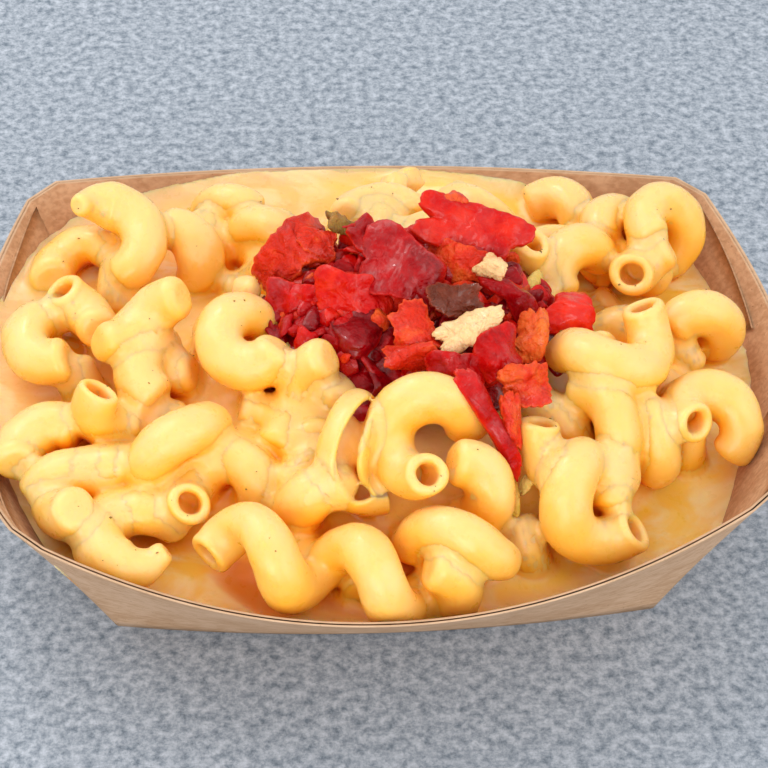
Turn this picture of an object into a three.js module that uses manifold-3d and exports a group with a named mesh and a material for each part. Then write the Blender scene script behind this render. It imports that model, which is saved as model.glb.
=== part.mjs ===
// Corkscrew macaroni in cheese sauce with roasted peppers, served in a folded paper boat.
// Millimetres, +Z up. +X runs along the boat, +Y points from its front wall to its back wall.
// The origin is on the surface that the boat stands on, under the middle of its outline.
import * as THREE from 'three';
import { mergeVertices } from 'three/addons/utils/BufferGeometryUtils.js';
import Module from 'manifold-3d';

const wasm = await Module();
wasm.setup();

const gap = 0.3; // clearance between touching pieces
const degrees = Math.PI / 180;
const golden = (Math.sqrt(5) - 1) / 2;

// ---- boat: two nested trays folded from card -------------------------------------------------
const card = 0.5; // thickness of one sheet of card
const rimLength = 150;
const rimDepth = 104;
const baseLength = 116.5;
const baseDepth = 70.6;
const cornerHeight = 48.8;
const longWall = { bulge: 18.6, baseBulge: 4.5, sag: 10.3 }; // front and back walls belly out
const endWall = { bulge: 14.5, baseBulge: 1.4, sag: 9.3 }; // and their rims dip in the middle
const cornerCut = 4; // each rim corner is clipped this far along both walls
const cornerShift = { // the folded corners are not quite alike: x, y, z
  frontLeft: [1.3, -1.1, -1.3],
  frontRight: [-1.2, 1.7, 1.3],
  backRight: [0.6, -0.2, -0.1],
  backLeft: [0, 1.1, 1.4],
};
const gussetFold = 0.26; // where a folded gusset ends along an end wall's rim, from its middle

// ---- food -------------------------------------------------------------------------------------
const sauceLevel = { height: 33.5, rise: 0.095, fall: 0.035 }; // higher at the back and the left
const core = { x: 0, y: -1, length: 69, depth: 53, bottom: 24, edge: 31, top: 48.5 };
const tubeRadius = 4.75; // half of a cooked noodle's outside diameter
const boreRadius = 2.5; // half of the hole in a noodle's open end
const boreDepth = 5;
const girthAtEnds = 0.94; // a noodle is fuller in its middle than at its ends
const girthInMiddle = 1.08;
const pinchedGirth = 0.42; // some end in a squeezed tip
const pinchLength = 9;
const splitBore = 3.4; // half of the width of the groove in a noodle that is split open
const splitShift = 3.2; // how far the groove's middle is from the noodle's
const splitWay = [0.18, -0.7, 0.69]; // the side on which it lies open
const tubeSides = { top: 6, filler: 5 };
const stepsPerTurn = { top: 8, filler: 6 };
const coils = { // radius of the corkscrew and its rise per turn
  tight: { radius: 5.5, pitch: 18 },
  loose: { radius: 6.3, pitch: 20.5 },
  long: { radius: 5.1, pitch: 21 },
  slack: { radius: 3, pitch: 28 },
};

// Each noodle that lies on top: centre x, y, z in mm, then the heading of its corkscrew's axis,
// the axis's tilt, the phase of its turn in degrees, how many turns it has, and the end of it
// that lies open to view or is pinched, or the word split, if it is split open along its length.
const noodles = [
  ['loose', -57, 32, 52.5, 325, -80, 17, 0.74, 'pinched start'],
  ['tight', -64.5, 9.5, 51, 249, -36, 277, 0.42, 'start'],
  ['tight', -65, 33, 43, 17, -42, 350, 0.6],
  ['slack', -50.5, 0.7, 55, 185, -10, 233, 0.68],
  ['tight', -70, 6, 45, 284, 55, 175, 0.66, 'start'],
  ['tight', -54.5, -18, 48, 299, -31, 221, 0.5, 'start'],
  ['tight', -46, -6, 46, 285, 47, 147, 0.55],
  ['loose', -43, -26.5, 44.5, 90, 25, 81, 0.58],
  ['tight', -29, -4.5, 53.5, 284, 43, 173, 0.92],
  ['loose', -15, -20, 50.5, 222, -5, 225, 0.64],
  ['tight', -27.5, -22, 44.5, 289, -48, 351, 0.5],
  ['tight', -70, -23.5, 43, 202, 47, 193, 0.54],
  ['slack', -65.5, -38, 42.5, 265, 44, 255, 0.5],
  ['tight', -58, -26, 37, 69, 23, 119, 0.45],
  ['loose', -53, -45.5, 38.5, 297, 55, 175, 0.73, 'pinched end'],
  ['tight', -35, -33.5, 41, 23, -39, 18, 0.94, 'start'],
  ['long', -14.5, -55, 39, 352, -12, 316, 2.2, 'start'],
  ['loose', 11.5, -51.5, 39, 29, 12, 93, 0.68],
  ['tight', 6, -56.5, 34.5, 71, -24, 169, 0.46],
  ['tight', 13.5, -40.5, 44, 74, -51, 173, 0.62],
  ['loose', 5.5, -32.5, 53, 62, -19, 17, 0.98, 'start'],
  ['loose', -6.5, -34, 49, 311, -8, 154, 0.67, 'split'],
  ['tight', -14, -39.5, 40.5, 268, -34, 141, 0.58],
  ['tight', 32, -35, 51, 232, -1, 259, 0.45, 'start'],
  ['loose', 43.5, -23.5, 43, 356, -32, 116, 0.64],
  ['loose', 39, -43, 42, 304, -1, 179, 0.84, 'end'],
  ['tight', 53, -21.5, 39, 5, -26, 136, 0.53],
  ['tight', 68, -19.5, 42, 45, -67, 56, 0.88, 'start'],
  ['tight', 65.5, 35.5, 47, 94, -53, 124, 0.94],
  ['tight', 55.5, 38.5, 42, 111, -45, 113, 0.58],
  ['tight', 45, 24.5, 45, 92, -22, 69, 0.65],
  ['tight', 61, 21.5, 51, 351, -28, 292, 0.42, 'start'],
  ['loose', 48, -9.5, 53, 198, -42, 2, 0.9, 'start'],
  ['tight', 69.5, 8.5, 40.5, 74, -18, 136, 0.66],
  ['tight', -31, 49, 39, 39, 1, 55, 0.46],
  ['tight', -24.5, 37.5, 42, 26, 4, 39, 0.5],
  ['tight', -43.5, 34.5, 43, 39, -49, 127, 0.5],
  ['tight', 2, 43, 46.5, 346, -54, 334, 0.56],
  ['tight', 38.5, 20.5, 51, 262, -30, 221, 0.42, 'start'],
  ['tight', 43, 48.5, 39.5, 0, -38, 57, 0.5],
  ['tight', 24, 46, 42, 200, -20, 80, 0.55],
];
// Low noodles near the walls, half sunk in the sauce, that carry some of those above: centre
// x, y, z, heading, tilt and phase.
const lowNoodles = [
  [-51, -39, 34, 60, 0, 90],
  [-65, -30, 37, 250, 0, 90],
  [-56, 29, 38.5, 320, 0, 90],
  [40, -34, 38, 60, 0, 90],
  [41, 37, 36.5, 250, 0, 90],
  [63, 9, 34, 180, 0, 90],
  [57, 31, 36, 220, 0, 90],
  [3, 39, 41, 340, 0, 90],
];
const lowTurns = 0.5;
const filler = { count: 48, turns: 0.5, sink: 0.5, clear: 8, rise: 1 }; // the layer beneath them

// Each pepper, onion and herb piece: name, kind, centre x, y, z, length, depth, thickness,
// turn about its own normal, lean of that normal from upright and the compass it leans to, curl,
// squareness of its outline and taper towards one end.
const toppings = [
  ['pepper_left', 'flesh', -19.4, 16.8, 58.5, 16.6, 11, 5, 24, 30, 250, 1.4, 4, -0.22],
  ['pepper_left_top', 'flesh', -13.4, 18.2, 60.5, 6.8, 9.1, 4, 70, 22, 260, 0.8, 3, 0.1],
  ['pepper_left_skin', 'skin', -18, 5.2, 54.8, 14, 9.1, 3.2, 344, 45, 240, 1, 4, 0.1],
  ['pepper_square', 'skin', -6.2, 1.4, 59.3, 15.1, 11, 4, 348, 40, 262, 1, 5, 0],
  ['pepper_wedge', 'dark', -7, -9.5, 55.8, 12.5, 7.9, 3.6, 258, 50, 262, 1.4, 5, 0.8],
  ['pepper_sheet', 'dark', 3.7, 7.2, 62.2, 18.9, 13.8, 3.2, 336, 36, 272, 2.2, 3, 0.1],
  ['pepper_fold', 'skin', -2.1, 16, 62.6, 11.3, 6.3, 4.2, 308, 28, 255, 1.8, 3, 0.25],
  ['herb_bit', 'herb', -7.4, 23, 60.5, 7.2, 5.3, 3, 15, 20, 90, 0.6, 3, 0],
  ['pepper_back', 'skin', 19.2, 20.1, 62.4, 24.5, 11.4, 4.2, 342, 30, 285, 2.6, 2.2, 0.05],
  ['pepper_back_lump', 'flesh', 15.1, 25.9, 64.4, 8.3, 5.7, 4.2, 18, 14, 90, 0.6, 3, -0.15],
  ['pepper_middle', 'flesh', 17.3, 10.3, 60.2, 16.6, 8.7, 4.4, 346, 40, 280, 1.2, 3, 0.1],
  ['garlic_bit', 'onion', 23.1, 6.3, 63, 5.3, 5.7, 3.2, 60, 40, 285, 0.4, 3, 0.2],
  ['pepper_right_strip', 'dark', 27, 2.1, 58.2, 15.1, 5.4, 3.6, 326, 34, 300, 1.6, 3, -0.1],
  ['pepper_far_right', 'skin', 39.4, 0.4, 54.5, 10.2, 10, 4.4, 82, 34, 300, 1.2, 4, 0.3],
  ['char_bit', 'char', 14.5, -1.9, 61, 11.3, 6.9, 3.2, 2, 36, 270, 0.8, 3, 0],
  ['pepper_front_left', 'flesh', 5.5, -9.2, 59.6, 9.4, 11.4, 4, 12, 38, 262, 1.2, 4, 0],
  ['onion_chunk', 'onion', 16.4, -11.1, 60.4, 14.7, 7.2, 5, 18, 38, 272, 0.8, 3, -0.15],
  ['pepper_front_right', 'skin', 22.1, -16.3, 59.2, 9.8, 10.3, 4.2, 24, 38, 285, 1.2, 4, 0.1],
  ['pepper_orange', 'flesh', 30, -9.1, 57, 6, 12, 4, 352, 34, 290, 1, 4, 0],
  ['pepper_front', 'flesh', 4.3, -15.3, 57.8, 10.2, 5.7, 3.8, 356, 44, 262, 1, 3, -0.15],
  ['pepper_front_strip', 'skin', 13.7, -19, 58.4, 11.7, 6.1, 3.8, 350, 42, 270, 1, 4, 0],
  ['pepper_strand', 'skin', 19.2, -31.6, 55.3, 23, 4.5, 3.6, 308, 44, 290, 1.8, 3, 0.15],
  ['pepper_orange_tip', 'flesh', 27.2, -22.5, 56, 10.2, 8.7, 3.8, 15, 40, 290, 1, 3, -0.1],
  ['pepper_orange_strip', 'flesh', 23.7, -30, 53.6, 4.9, 10.6, 3.2, 5, 42, 290, 0.8, 3, 0],
];
// What lies under them: a low mound of small shreds, its top sloping down to the front.
const bed = { x: 5, y: 4, length: 34, depth: 27, bottom: 44, edge: 46.5, top: 57.5, rise: 0.12 };
const outlineSteps = 9; // corners of a topping's outline
const toppingWobble = 0.16; // how far that outline strays from a rounded rectangle

const colours = {
  card: 0xc09a78,
  sauce: 0xf2a83c,
  pasta: 0xffd878,
  skin: 0xc41e18,
  dark: 0x8c0a12,
  flesh: 0xe0502c,
  onion: 0xf0c890,
  herb: 0x7a6a2c,
  char: 0x6a3020,
};

// ---- helpers ----------------------------------------------------------------------------------
const frac = (value) => value - Math.floor(value);
const mix = (a, b, t) => a + (b - a) * t;

// A closed solid through rings of equal length, each an array of Vector3. The first and the
// last ring are closed by a fan to their middle, or to the point given for them. From the ring
// number turn on, the rings run back down the inside of a wall, and the faces between them are
// split along the same diagonals as on its outside, so that the wall's two faces stay parallel.
function loft(rings, { firstTip, lastTip, turn = rings.length } = {}) {
  const count = rings[0].length;
  const points = rings.flat();
  const faces = [];
  for (let level = 0; level + 1 < rings.length; level += 1) {
    for (let i = 0; i < count; i += 1) {
      const j = (i + 1) % count;
      const low = level * count;
      const high = low + count;
      if (level < turn) faces.push(low + i, low + j, high + j, low + i, high + j, high + i);
      else faces.push(low + i, low + j, high + i, low + j, high + j, high + i);
    }
  }
  const middle = (ring) => ring
    .reduce((sum, point) => sum.add(point), new THREE.Vector3())
    .divideScalar(count);
  const first = points.push(firstTip ?? middle(rings[0])) - 1;
  const last = points.push(lastTip ?? middle(rings[rings.length - 1])) - 1;
  const top = (rings.length - 1) * count;
  for (let i = 0; i < count; i += 1) {
    const j = (i + 1) % count;
    faces.push(first, j, i, last, top + i, top + j);
  }
  const geometry = new THREE.BufferGeometry();
  geometry.setAttribute('position', new THREE.Float32BufferAttribute(
    points.flatMap((point) => [point.x, point.y, point.z]), 3));
  geometry.setIndex(faces);
  return geometry;
}

function toSolid(geometry) {
  const plain = mergeVertices(geometry, 1e-4);
  const solid = new wasm.Manifold(new wasm.Mesh({
    numProp: 3,
    vertProperties: plain.attributes.position.array,
    triVerts: Uint32Array.from(plain.index.array),
  }));
  if (solid.volume() < 0) throw new Error('a loft is inside out');
  return solid;
}

function toGeometry(solid) {
  const mesh = solid.getMesh();
  const geometry = new THREE.BufferGeometry();
  geometry.setAttribute('position', new THREE.BufferAttribute(mesh.vertProperties, 3));
  geometry.setIndex(new THREE.BufferAttribute(mesh.triVerts, 1));
  return geometry;
}

// The largest body of a solid: loose scraps are dropped and sealed hollows are filled.
function mainBody(solid) {
  return solid.decompose().reduce((a, b) => (a.volume() > b.volume() ? a : b));
}

const joinAll = (solids) => solids.reduce((sum, solid) => sum.add(solid));

// ---- the boat's form --------------------------------------------------------------------------
const corner = (name, right, back) => {
  const [x, y, z] = cornerShift[name];
  const sideways = right ? 0.5 : -0.5;
  const away = back ? 0.5 : -0.5;
  return {
    rim: new THREE.Vector3(sideways * rimLength + x, away * rimDepth + y, cornerHeight + z),
    base: new THREE.Vector3(sideways * baseLength, away * baseDepth, 0),
  };
};
const corners = [
  corner('frontLeft', false, false),
  corner('frontRight', true, false),
  corner('backRight', true, true),
  corner('backLeft', false, true),
];
const walls = [
  { form: longWall, outward: new THREE.Vector3(0, -1, 0), span: rimLength },
  { form: endWall, outward: new THREE.Vector3(1, 0, 0), span: rimDepth },
  { form: longWall, outward: new THREE.Vector3(0, 1, 0), span: rimLength },
  { form: endWall, outward: new THREE.Vector3(-1, 0, 0), span: rimDepth },
].map((wall, i) => ({ ...wall, from: corners[i], to: corners[(i + 1) % 4] }));

// A point of a wall's outer face: along runs from -1 to 1, up from 0 at the base to 1 at the rim.
function wallPoint(wall, along, up) {
  const t = (along * (1 - up * cornerCut / (wall.span / 2)) + 1) / 2;
  const belly = 1 - (2 * t - 1) ** 2;
  const base = wall.from.base.clone().lerp(wall.to.base, t);
  const rim = wall.from.rim.clone().lerp(wall.to.rim, t);
  base.addScaledVector(wall.outward, wall.form.baseBulge * belly);
  rim.addScaledVector(wall.outward, wall.form.bulge * belly);
  rim.z -= wall.form.sag * belly;
  return base.lerp(rim, up);
}

// Stations along a wall. On an end wall two of them follow the free edge of each gusset.
function stations(wall, up) {
  if (wall.form === longWall) {
    return [-1, -0.75, -0.5, -0.25, 0, 0.25, 0.5, 0.75, 1].map((s) => ({ s, ply: 0 }));
  }
  const fold = mix(0.95, gussetFold, up);
  const step = 0.02;
  const half = [
    { s: 1, ply: 1 },
    { s: (1 + fold) / 2, ply: 1 },
    { s: fold + step, ply: 1 },
    { s: fold - step, ply: 0 },
    { s: fold / 2, ply: 0 },
  ];
  return [
    ...half.map(({ s, ply }) => ({ s: -s, ply })),
    { s: 0, ply: 0 },
    ...half.slice().reverse(),
  ];
}

// One ring round the boat, moved inwards by the inset and, on the gussets, by one more sheet.
function boatRing(up, inset, sheet = 0, lift = 0) {
  const points = [];
  const insets = [];
  walls.forEach((wall) => stations(wall, up).forEach(({ s, ply }) => {
    points.push(wallPoint(wall, s, up));
    insets.push(inset + ply * sheet);
  }));
  return points.map((point, i) => {
    const before = points[(i + points.length - 1) % points.length];
    const after = points[(i + 1) % points.length];
    const way = after.clone().sub(before).setZ(0).normalize();
    const moved = new THREE.Vector3(-way.y, way.x, 0).multiplyScalar(insets[i]).add(point);
    moved.z += lift;
    return moved;
  });
}

const wallLevels = [0, 0.5, 1];

function boat(inset, lift, gussets) {
  const outside = wallLevels.map((up) => boatRing(up, inset, 0, up === 0 ? lift : 0));
  const inside = wallLevels.map((up) => (
    boatRing(up, inset + card, gussets ? card : 0, up === 0 ? lift + card : 0)));
  return loft([...outside, ...inside.reverse()], { turn: outside.length });
}

const outerBoat = boat(0, 0, false);
const innerBoat = boat(card + gap, card + gap, true);
const roomInset = 3 * card + 2 * gap; // the inner face of the gussets
const roomFloor = 2 * card + 2 * gap;

// The room for the food: the inside of the boat, carried on above the rim by the amount given.
function room(clearance, above) {
  const inset = roomInset + clearance;
  const rings = wallLevels.map((up) => (
    boatRing(up, inset, 0, up === 0 ? roomFloor + clearance : 0)));
  const rim = rings[rings.length - 1];
  rings.push(rim.map((point) => point.clone().setZ(point.z + above)));
  return loft(rings);
}

// ---- the sauce --------------------------------------------------------------------------------
const levelAt = (x, y) => sauceLevel.height + sauceLevel.rise * y - sauceLevel.fall * x;

// Everything under the sauce's level, as a block that the room then cuts to shape.
function sauceBlock() {
  const reach = 100;
  const plan = [[-reach, -reach], [reach, -reach], [reach, reach], [-reach, reach]];
  return loft([
    plan.map(([x, y]) => new THREE.Vector3(x, y, 0)),
    plan.map(([x, y]) => new THREE.Vector3(x, y, levelAt(x, y))),
  ]);
}

// ---- the pasta --------------------------------------------------------------------------------
const coreHeight = (rho) => mix(core.edge, core.top, 1 - Math.min(rho, 1) ** 3);

// The mound of pasta and sauce that carries the noodles on top, grown by the amount given.
function coreMound(grow) {
  const sides = 22;
  const ring = (rho, z) => Array.from({ length: sides }, (_, i) => {
    const angle = 2 * Math.PI * i / sides;
    const x = core.x + Math.cos(angle) * (rho * core.length + grow);
    const y = core.y + Math.sin(angle) * (rho * core.depth + grow);
    return new THREE.Vector3(x, y, z);
  });
  const rings = [ring(0.96, core.bottom - grow), ring(1, core.bottom + 2)];
  [1, 0.9, 0.72, 0.48, 0.24].forEach((rho) => rings.push(ring(rho, coreHeight(rho) + grow)));
  return loft(rings);
}

// A point of a corkscrew's centre line, t in radians from the middle of the noodle.
function coilFrame([kind, x, y, z, heading, tilt, phase, turns]) {
  const { radius, pitch } = coils[kind];
  const h = heading * degrees;
  const e = tilt * degrees;
  const axis = new THREE.Vector3(Math.cos(e) * Math.cos(h), Math.cos(e) * Math.sin(h), Math.sin(e));
  const side = new THREE.Vector3(-Math.sin(h), Math.cos(h), 0);
  const third = new THREE.Vector3().crossVectors(axis, side);
  const centre = new THREE.Vector3(x, y, z);
  const at = (t) => centre.clone()
    .addScaledVector(axis, pitch * t / (2 * Math.PI))
    .addScaledVector(side, radius * Math.cos(t + phase * degrees))
    .addScaledVector(third, radius * Math.sin(t + phase * degrees));
  const way = (t) => axis.clone()
    .multiplyScalar(pitch / (2 * Math.PI))
    .addScaledVector(side, -radius * Math.sin(t + phase * degrees))
    .addScaledVector(third, radius * Math.cos(t + phase * degrees))
    .normalize();
  const outward = (t) => new THREE.Vector3()
    .addScaledVector(side, Math.cos(t + phase * degrees))
    .addScaledVector(third, Math.sin(t + phase * degrees));
  const speed = Math.hypot(radius, pitch / (2 * Math.PI));
  return { at, way, outward, speed, half: turns * Math.PI };
}

// How full a noodle on top is at t.
function girth(coil, feature, t) {
  const full = mix(girthAtEnds, girthInMiddle, Math.cos(t / coil.half * Math.PI / 2));
  const pinched = { 'pinched start': -1, 'pinched end': 1 }[feature];
  if (!pinched) return full;
  const share = Math.min(1, (coil.half - pinched * t) * coil.speed / pinchLength);
  return full * mix(pinchedGirth, 1, share);
}

// A round bar that follows the corkscrew from one angle to another, made longer by grow at each
// end. Its radius is a function of the angle.
function bar(coil, radius, from, to, sides, perTurn, grow) {
  const steps = Math.max(2, Math.round((to - from) / (2 * Math.PI) * perTurn));
  const ring = (t, shift) => {
    const out = coil.outward(t);
    const across = new THREE.Vector3().crossVectors(coil.way(t), out);
    return Array.from({ length: sides }, (_, i) => {
      const angle = 2 * Math.PI * i / sides;
      return coil.at(t)
        .addScaledVector(coil.way(t), shift)
        .addScaledVector(out, radius(t) * Math.cos(angle))
        .addScaledVector(across, radius(t) * Math.sin(angle));
    });
  };
  const rings = Array.from({ length: steps + 1 }, (_, i) => ring(mix(from, to, i / steps), 0));
  if (grow > 0) {
    rings.unshift(ring(from, -grow));
    rings.push(ring(to, grow));
  }
  return toSolid(loft(rings));
}

function noodleBody(row, layer, grow) {
  const coil = coilFrame(row);
  const radius = (t) => tubeRadius * (layer === 'top' ? girth(coil, row[8], t) : 1) + grow;
  return bar(coil, radius, -coil.half, coil.half, tubeSides[layer], stepsPerTurn[layer], grow);
}

// The hole in a noodle's open end, or the groove along one that is split.
function noodleBore(row) {
  const coil = coilFrame(row);
  if (row[8] === 'split') {
    const groove = bar(coil, () => splitBore, -coil.half, 0.8 * coil.half, tubeSides.top,
      stepsPerTurn.top, 0.1);
    const way = new THREE.Vector3(...splitWay).setLength(splitShift);
    return groove.translate([way.x, way.y, way.z]);
  }
  const depth = boreDepth / coil.speed;
  const [from, to] = row[8] === 'start'
    ? [-coil.half, depth - coil.half]
    : [coil.half - depth, coil.half];
  return bar(coil, () => boreRadius, from, to, tubeSides.top, stepsPerTurn.top, 0.1);
}

const toppingCentres = toppings.map((row) => new THREE.Vector3(row[2], row[3], row[4]));

// The layer beneath: noodles spread over the mound on a sunflower spiral, with headings and
// phases stepped by the golden ratio, wherever no noodle or topping above hides the place.
function fillerNoodles() {
  const paths = noodles.map((row) => {
    const coil = coilFrame(row);
    return [-1, -0.5, 0, 0.5, 1].map((part) => coil.at(part * coil.half));
  }).flat();
  const rows = [];
  for (let i = 0; i < filler.count; i += 1) {
    const rho = Math.sqrt((i + 0.5) / filler.count);
    const angle = 2 * Math.PI * golden * i;
    const x = core.x + core.length * rho * Math.cos(angle);
    const y = core.y + core.depth * rho * Math.sin(angle);
    const z = Math.max(coreHeight(rho) - filler.sink, levelAt(x, y) + filler.rise);
    const centre = new THREE.Vector3(x, y, z);
    const hidden = paths.some((point) => point.distanceTo(centre) < filler.clear);
    const covered = toppingCentres.some((point) => Math.hypot(point.x - x, point.y - y) < 8);
    if (hidden || covered) continue;
    const heading = 360 * frac(i * golden);
    const tilt = 50 * (frac(i * golden * golden) - 0.5);
    const phase = 360 * frac(0.5 + i * golden * 3);
    rows.push(['tight', x, y, z, heading, tilt, phase, filler.turns]);
  }
  return rows;
}

// The mound with all its noodles, grown by the amount given.
const fillers = [
  ...fillerNoodles(),
  ...lowNoodles.map((place) => ['tight', ...place, lowTurns]),
];
const heapBody = (grow) => joinAll([
  toSolid(coreMound(grow)),
  ...noodles.map((row) => noodleBody(row, 'top', grow)),
  ...fillers.map((row) => noodleBody(row, 'filler', grow)),
]);
const hollow = ['start', 'end', 'split'];
const bores = joinAll(noodles.filter((row) => hollow.includes(row[8])).map(noodleBore));
const grownHeap = heapBody(gap);
const heap = mainBody(heapBody(0).subtract(bores).intersect(toSolid(room(gap, 40))));

const sauce = mainBody(toSolid(sauceBlock())
  .intersect(toSolid(room(gap, 1)))
  .subtract(grownHeap));

// ---- the toppings -----------------------------------------------------------------------------
// A piece of pepper: a slab with a rounded, uneven outline, thinner at its edge, curled along its
// length and leaning on the pile. The row gives its place and size; grow adds to every side.
function toppingPiece(row, index, grow) {
  const [, , x, y, z, length, depth, thickness, turn, lean, compass, curl, square, taper] = row;
  const outline = (angle) => {
    const c = Math.cos(angle);
    const s = Math.sin(angle);
    const box = 1 / (Math.abs(c) ** square + Math.abs(s) ** square) ** (1 / square);
    const uneven = 1 + toppingWobble * (
      0.6 * Math.sin(2 * angle + 7 * index) + 0.5 * Math.sin(3 * angle + 4 * index)
      + 0.3 * Math.sin(5 * angle + 11 * index));
    return box * uneven;
  };
  const placed = new THREE.Matrix4()
    .makeTranslation(x, y, z)
    .multiply(new THREE.Matrix4().makeRotationZ(compass * degrees))
    .multiply(new THREE.Matrix4().makeRotationY(lean * degrees))
    .multiply(new THREE.Matrix4().makeRotationZ((turn - compass) * degrees));
  const ring = (size, side) => Array.from({ length: outlineSteps }, (_, i) => {
    const angle = 2 * Math.PI * i / outlineSteps;
    const reach = outline(angle) * size;
    const along = Math.cos(angle) * reach;
    const narrow = Math.max(0.12, 1 - taper * along);
    const px = along * length / 2 + Math.cos(angle) * grow;
    const py = Math.sin(angle) * (reach * narrow * depth / 2 + grow);
    const bend = curl * (0.35 - (2 * px / length) ** 2);
    return new THREE.Vector3(px, py, side * (thickness / 2 + grow) + bend).applyMatrix4(placed);
  });
  const tip = (side) => new THREE.Vector3(
    0, 0, side * (thickness / 2 + grow) + 0.35 * curl).applyMatrix4(placed);
  const rings = [ring(0.8, -1), ring(1, -0.3), ring(1, 0.4), ring(0.86, 1)];
  return toSolid(loft(rings, { firstTip: tip(-1), lastTip: tip(1) }));
}

// The mound of shreds under the toppings.
function bedMound() {
  const sides = 12;
  const ring = (rho, heightAt) => Array.from({ length: sides }, (_, i) => {
    const angle = 2 * Math.PI * i / sides;
    const x = bed.x + Math.cos(angle) * rho * bed.length;
    const y = bed.y + Math.sin(angle) * rho * bed.depth;
    return new THREE.Vector3(x, y, heightAt(y));
  });
  const topAt = (rho) => (y) => (
    mix(bed.edge, bed.top + bed.rise * (y - bed.y), 1 - rho ** 4));
  return toSolid(loft([
    ring(0.9, () => bed.bottom),
    ...[1, 0.82, 0.45].map((rho) => ring(rho, topAt(rho))),
  ]));
}

let taken = grownHeap;
const toppingSolids = toppings.map((row, index) => {
  const solid = mainBody(toppingPiece(row, index, 0).subtract(taken));
  taken = taken.add(toppingPiece(row, index, gap));
  return solid;
});

const bedSolid = mainBody(bedMound().subtract(taken));

// ---- the part ---------------------------------------------------------------------------------
const part = new THREE.Group();
part.name = 'macaroni_boat';
const food = new THREE.Group();
const outline = new THREE.Box3().setFromPoints(boatRing(1, 0)).getCenter(new THREE.Vector3());
food.position.set(-outline.x, -outline.y, 0);
part.add(food);

function addPiece(name, geometry, colour, roughness) {
  const plain = geometry.clone();
  plain.computeVertexNormals();
  const material = new THREE.MeshStandardMaterial({ color: colour, roughness, flatShading: true });
  const mesh = new THREE.Mesh(plain, material);
  mesh.name = name;
  food.add(mesh);
}

addPiece('boat_outer', outerBoat, colours.card, 0.9);
addPiece('boat_inner', innerBoat, colours.card, 0.9);
addPiece('sauce', toGeometry(sauce), colours.sauce, 0.35);
addPiece('pasta_heap', toGeometry(heap), colours.pasta, 0.4);
addPiece('pepper_bed', toGeometry(bedSolid), colours.skin, 0.4);
toppings.forEach(([name, kind], index) => {
  addPiece(name, toGeometry(toppingSolids[index]), colours[kind], 0.3);
});

export default part;
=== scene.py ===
# %% [markdown]
# # Macaroni and cheese in a paper boat
#
# The dish is a heap of corkscrew noodles in a glossy cheese sauce, topped with roasted peppers
# and held by a boat folded from brown card. The solids behind it come from the frame: two nested
# boats, the sauce, the heap and one solid for each piece of pepper. This lesson gives every one
# of them its finished surface, in the same place and at the same size.

# %% Load the frame
import math
import bpy
import mathutils
import numpy as np
import openvdb
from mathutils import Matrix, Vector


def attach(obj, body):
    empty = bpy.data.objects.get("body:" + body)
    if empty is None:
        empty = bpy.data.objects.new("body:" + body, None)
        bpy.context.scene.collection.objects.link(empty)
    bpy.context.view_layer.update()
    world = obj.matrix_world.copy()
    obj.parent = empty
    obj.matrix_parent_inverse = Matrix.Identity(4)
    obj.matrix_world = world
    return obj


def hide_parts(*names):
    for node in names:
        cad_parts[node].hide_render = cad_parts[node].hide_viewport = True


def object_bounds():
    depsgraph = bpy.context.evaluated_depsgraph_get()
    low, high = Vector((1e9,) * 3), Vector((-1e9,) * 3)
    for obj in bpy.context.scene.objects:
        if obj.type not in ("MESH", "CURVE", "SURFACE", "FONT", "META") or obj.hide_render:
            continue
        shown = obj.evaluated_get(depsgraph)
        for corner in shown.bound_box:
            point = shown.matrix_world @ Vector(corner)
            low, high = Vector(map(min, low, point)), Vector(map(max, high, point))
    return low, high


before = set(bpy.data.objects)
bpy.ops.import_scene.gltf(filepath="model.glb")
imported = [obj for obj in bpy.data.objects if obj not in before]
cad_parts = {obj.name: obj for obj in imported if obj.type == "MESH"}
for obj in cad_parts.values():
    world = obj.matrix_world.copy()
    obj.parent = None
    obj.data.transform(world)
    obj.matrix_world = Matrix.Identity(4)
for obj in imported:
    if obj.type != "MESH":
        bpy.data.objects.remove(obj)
solid_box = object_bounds()
MM = 0.001
DEG = math.pi / 180


def rounded(box):
    """A box's two corners in metres, to a tenth of a millimetre."""
    return [[round(v, 4) for v in end] for end in box]


print("the solids' box:", rounded(solid_box))

# %% [markdown]
# ## Meshes from arrays
#
# Every new piece is worked out in millimetres as a whole array of points, and its faces come from
# the grid that those points form. A ring of points that is carried along a path gives such a grid.
# Joining its last column to its first closes it without a seam, and a fan of triangles to one more
# point closes each of its ends.

# %% Grids of faces and a mesh
def grid_faces(rows, cols):
    """Quads of rows by cols points, with the last column joined to the first."""
    r, c = np.arange(rows - 1)[:, None] * cols, np.arange(cols)[None, :]
    c2 = (c + 1) % cols
    corners = [r + c, r + c2, r + cols + c2, r + cols + c]
    return np.stack([k.ravel() for k in np.broadcast_arrays(*corners)], axis=1)


def closed_grid(rows, cols, flipped=False):
    """Faces of a stack of rings: its quads, and the triangles that close its two ends."""
    k, tip = np.arange(cols), np.full(cols, rows * cols)
    after, base = (k + 1) % cols, (rows - 1) * cols
    a, b = (k, after) if flipped else (after, k)
    ends = np.concatenate([np.stack([tip, a, b], axis=1),
                           np.stack([tip + 1, base + b, base + a], axis=1)])
    quads = grid_faces(rows, cols)
    return quads[:, ::-1] if flipped else quads, ends


def with_tips(rings):
    """The points of a stack of rings, then the middles of its first and its last ring."""
    return np.concatenate([rings.reshape(-1, 3), rings[[0, -1]].mean(axis=1)])


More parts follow.
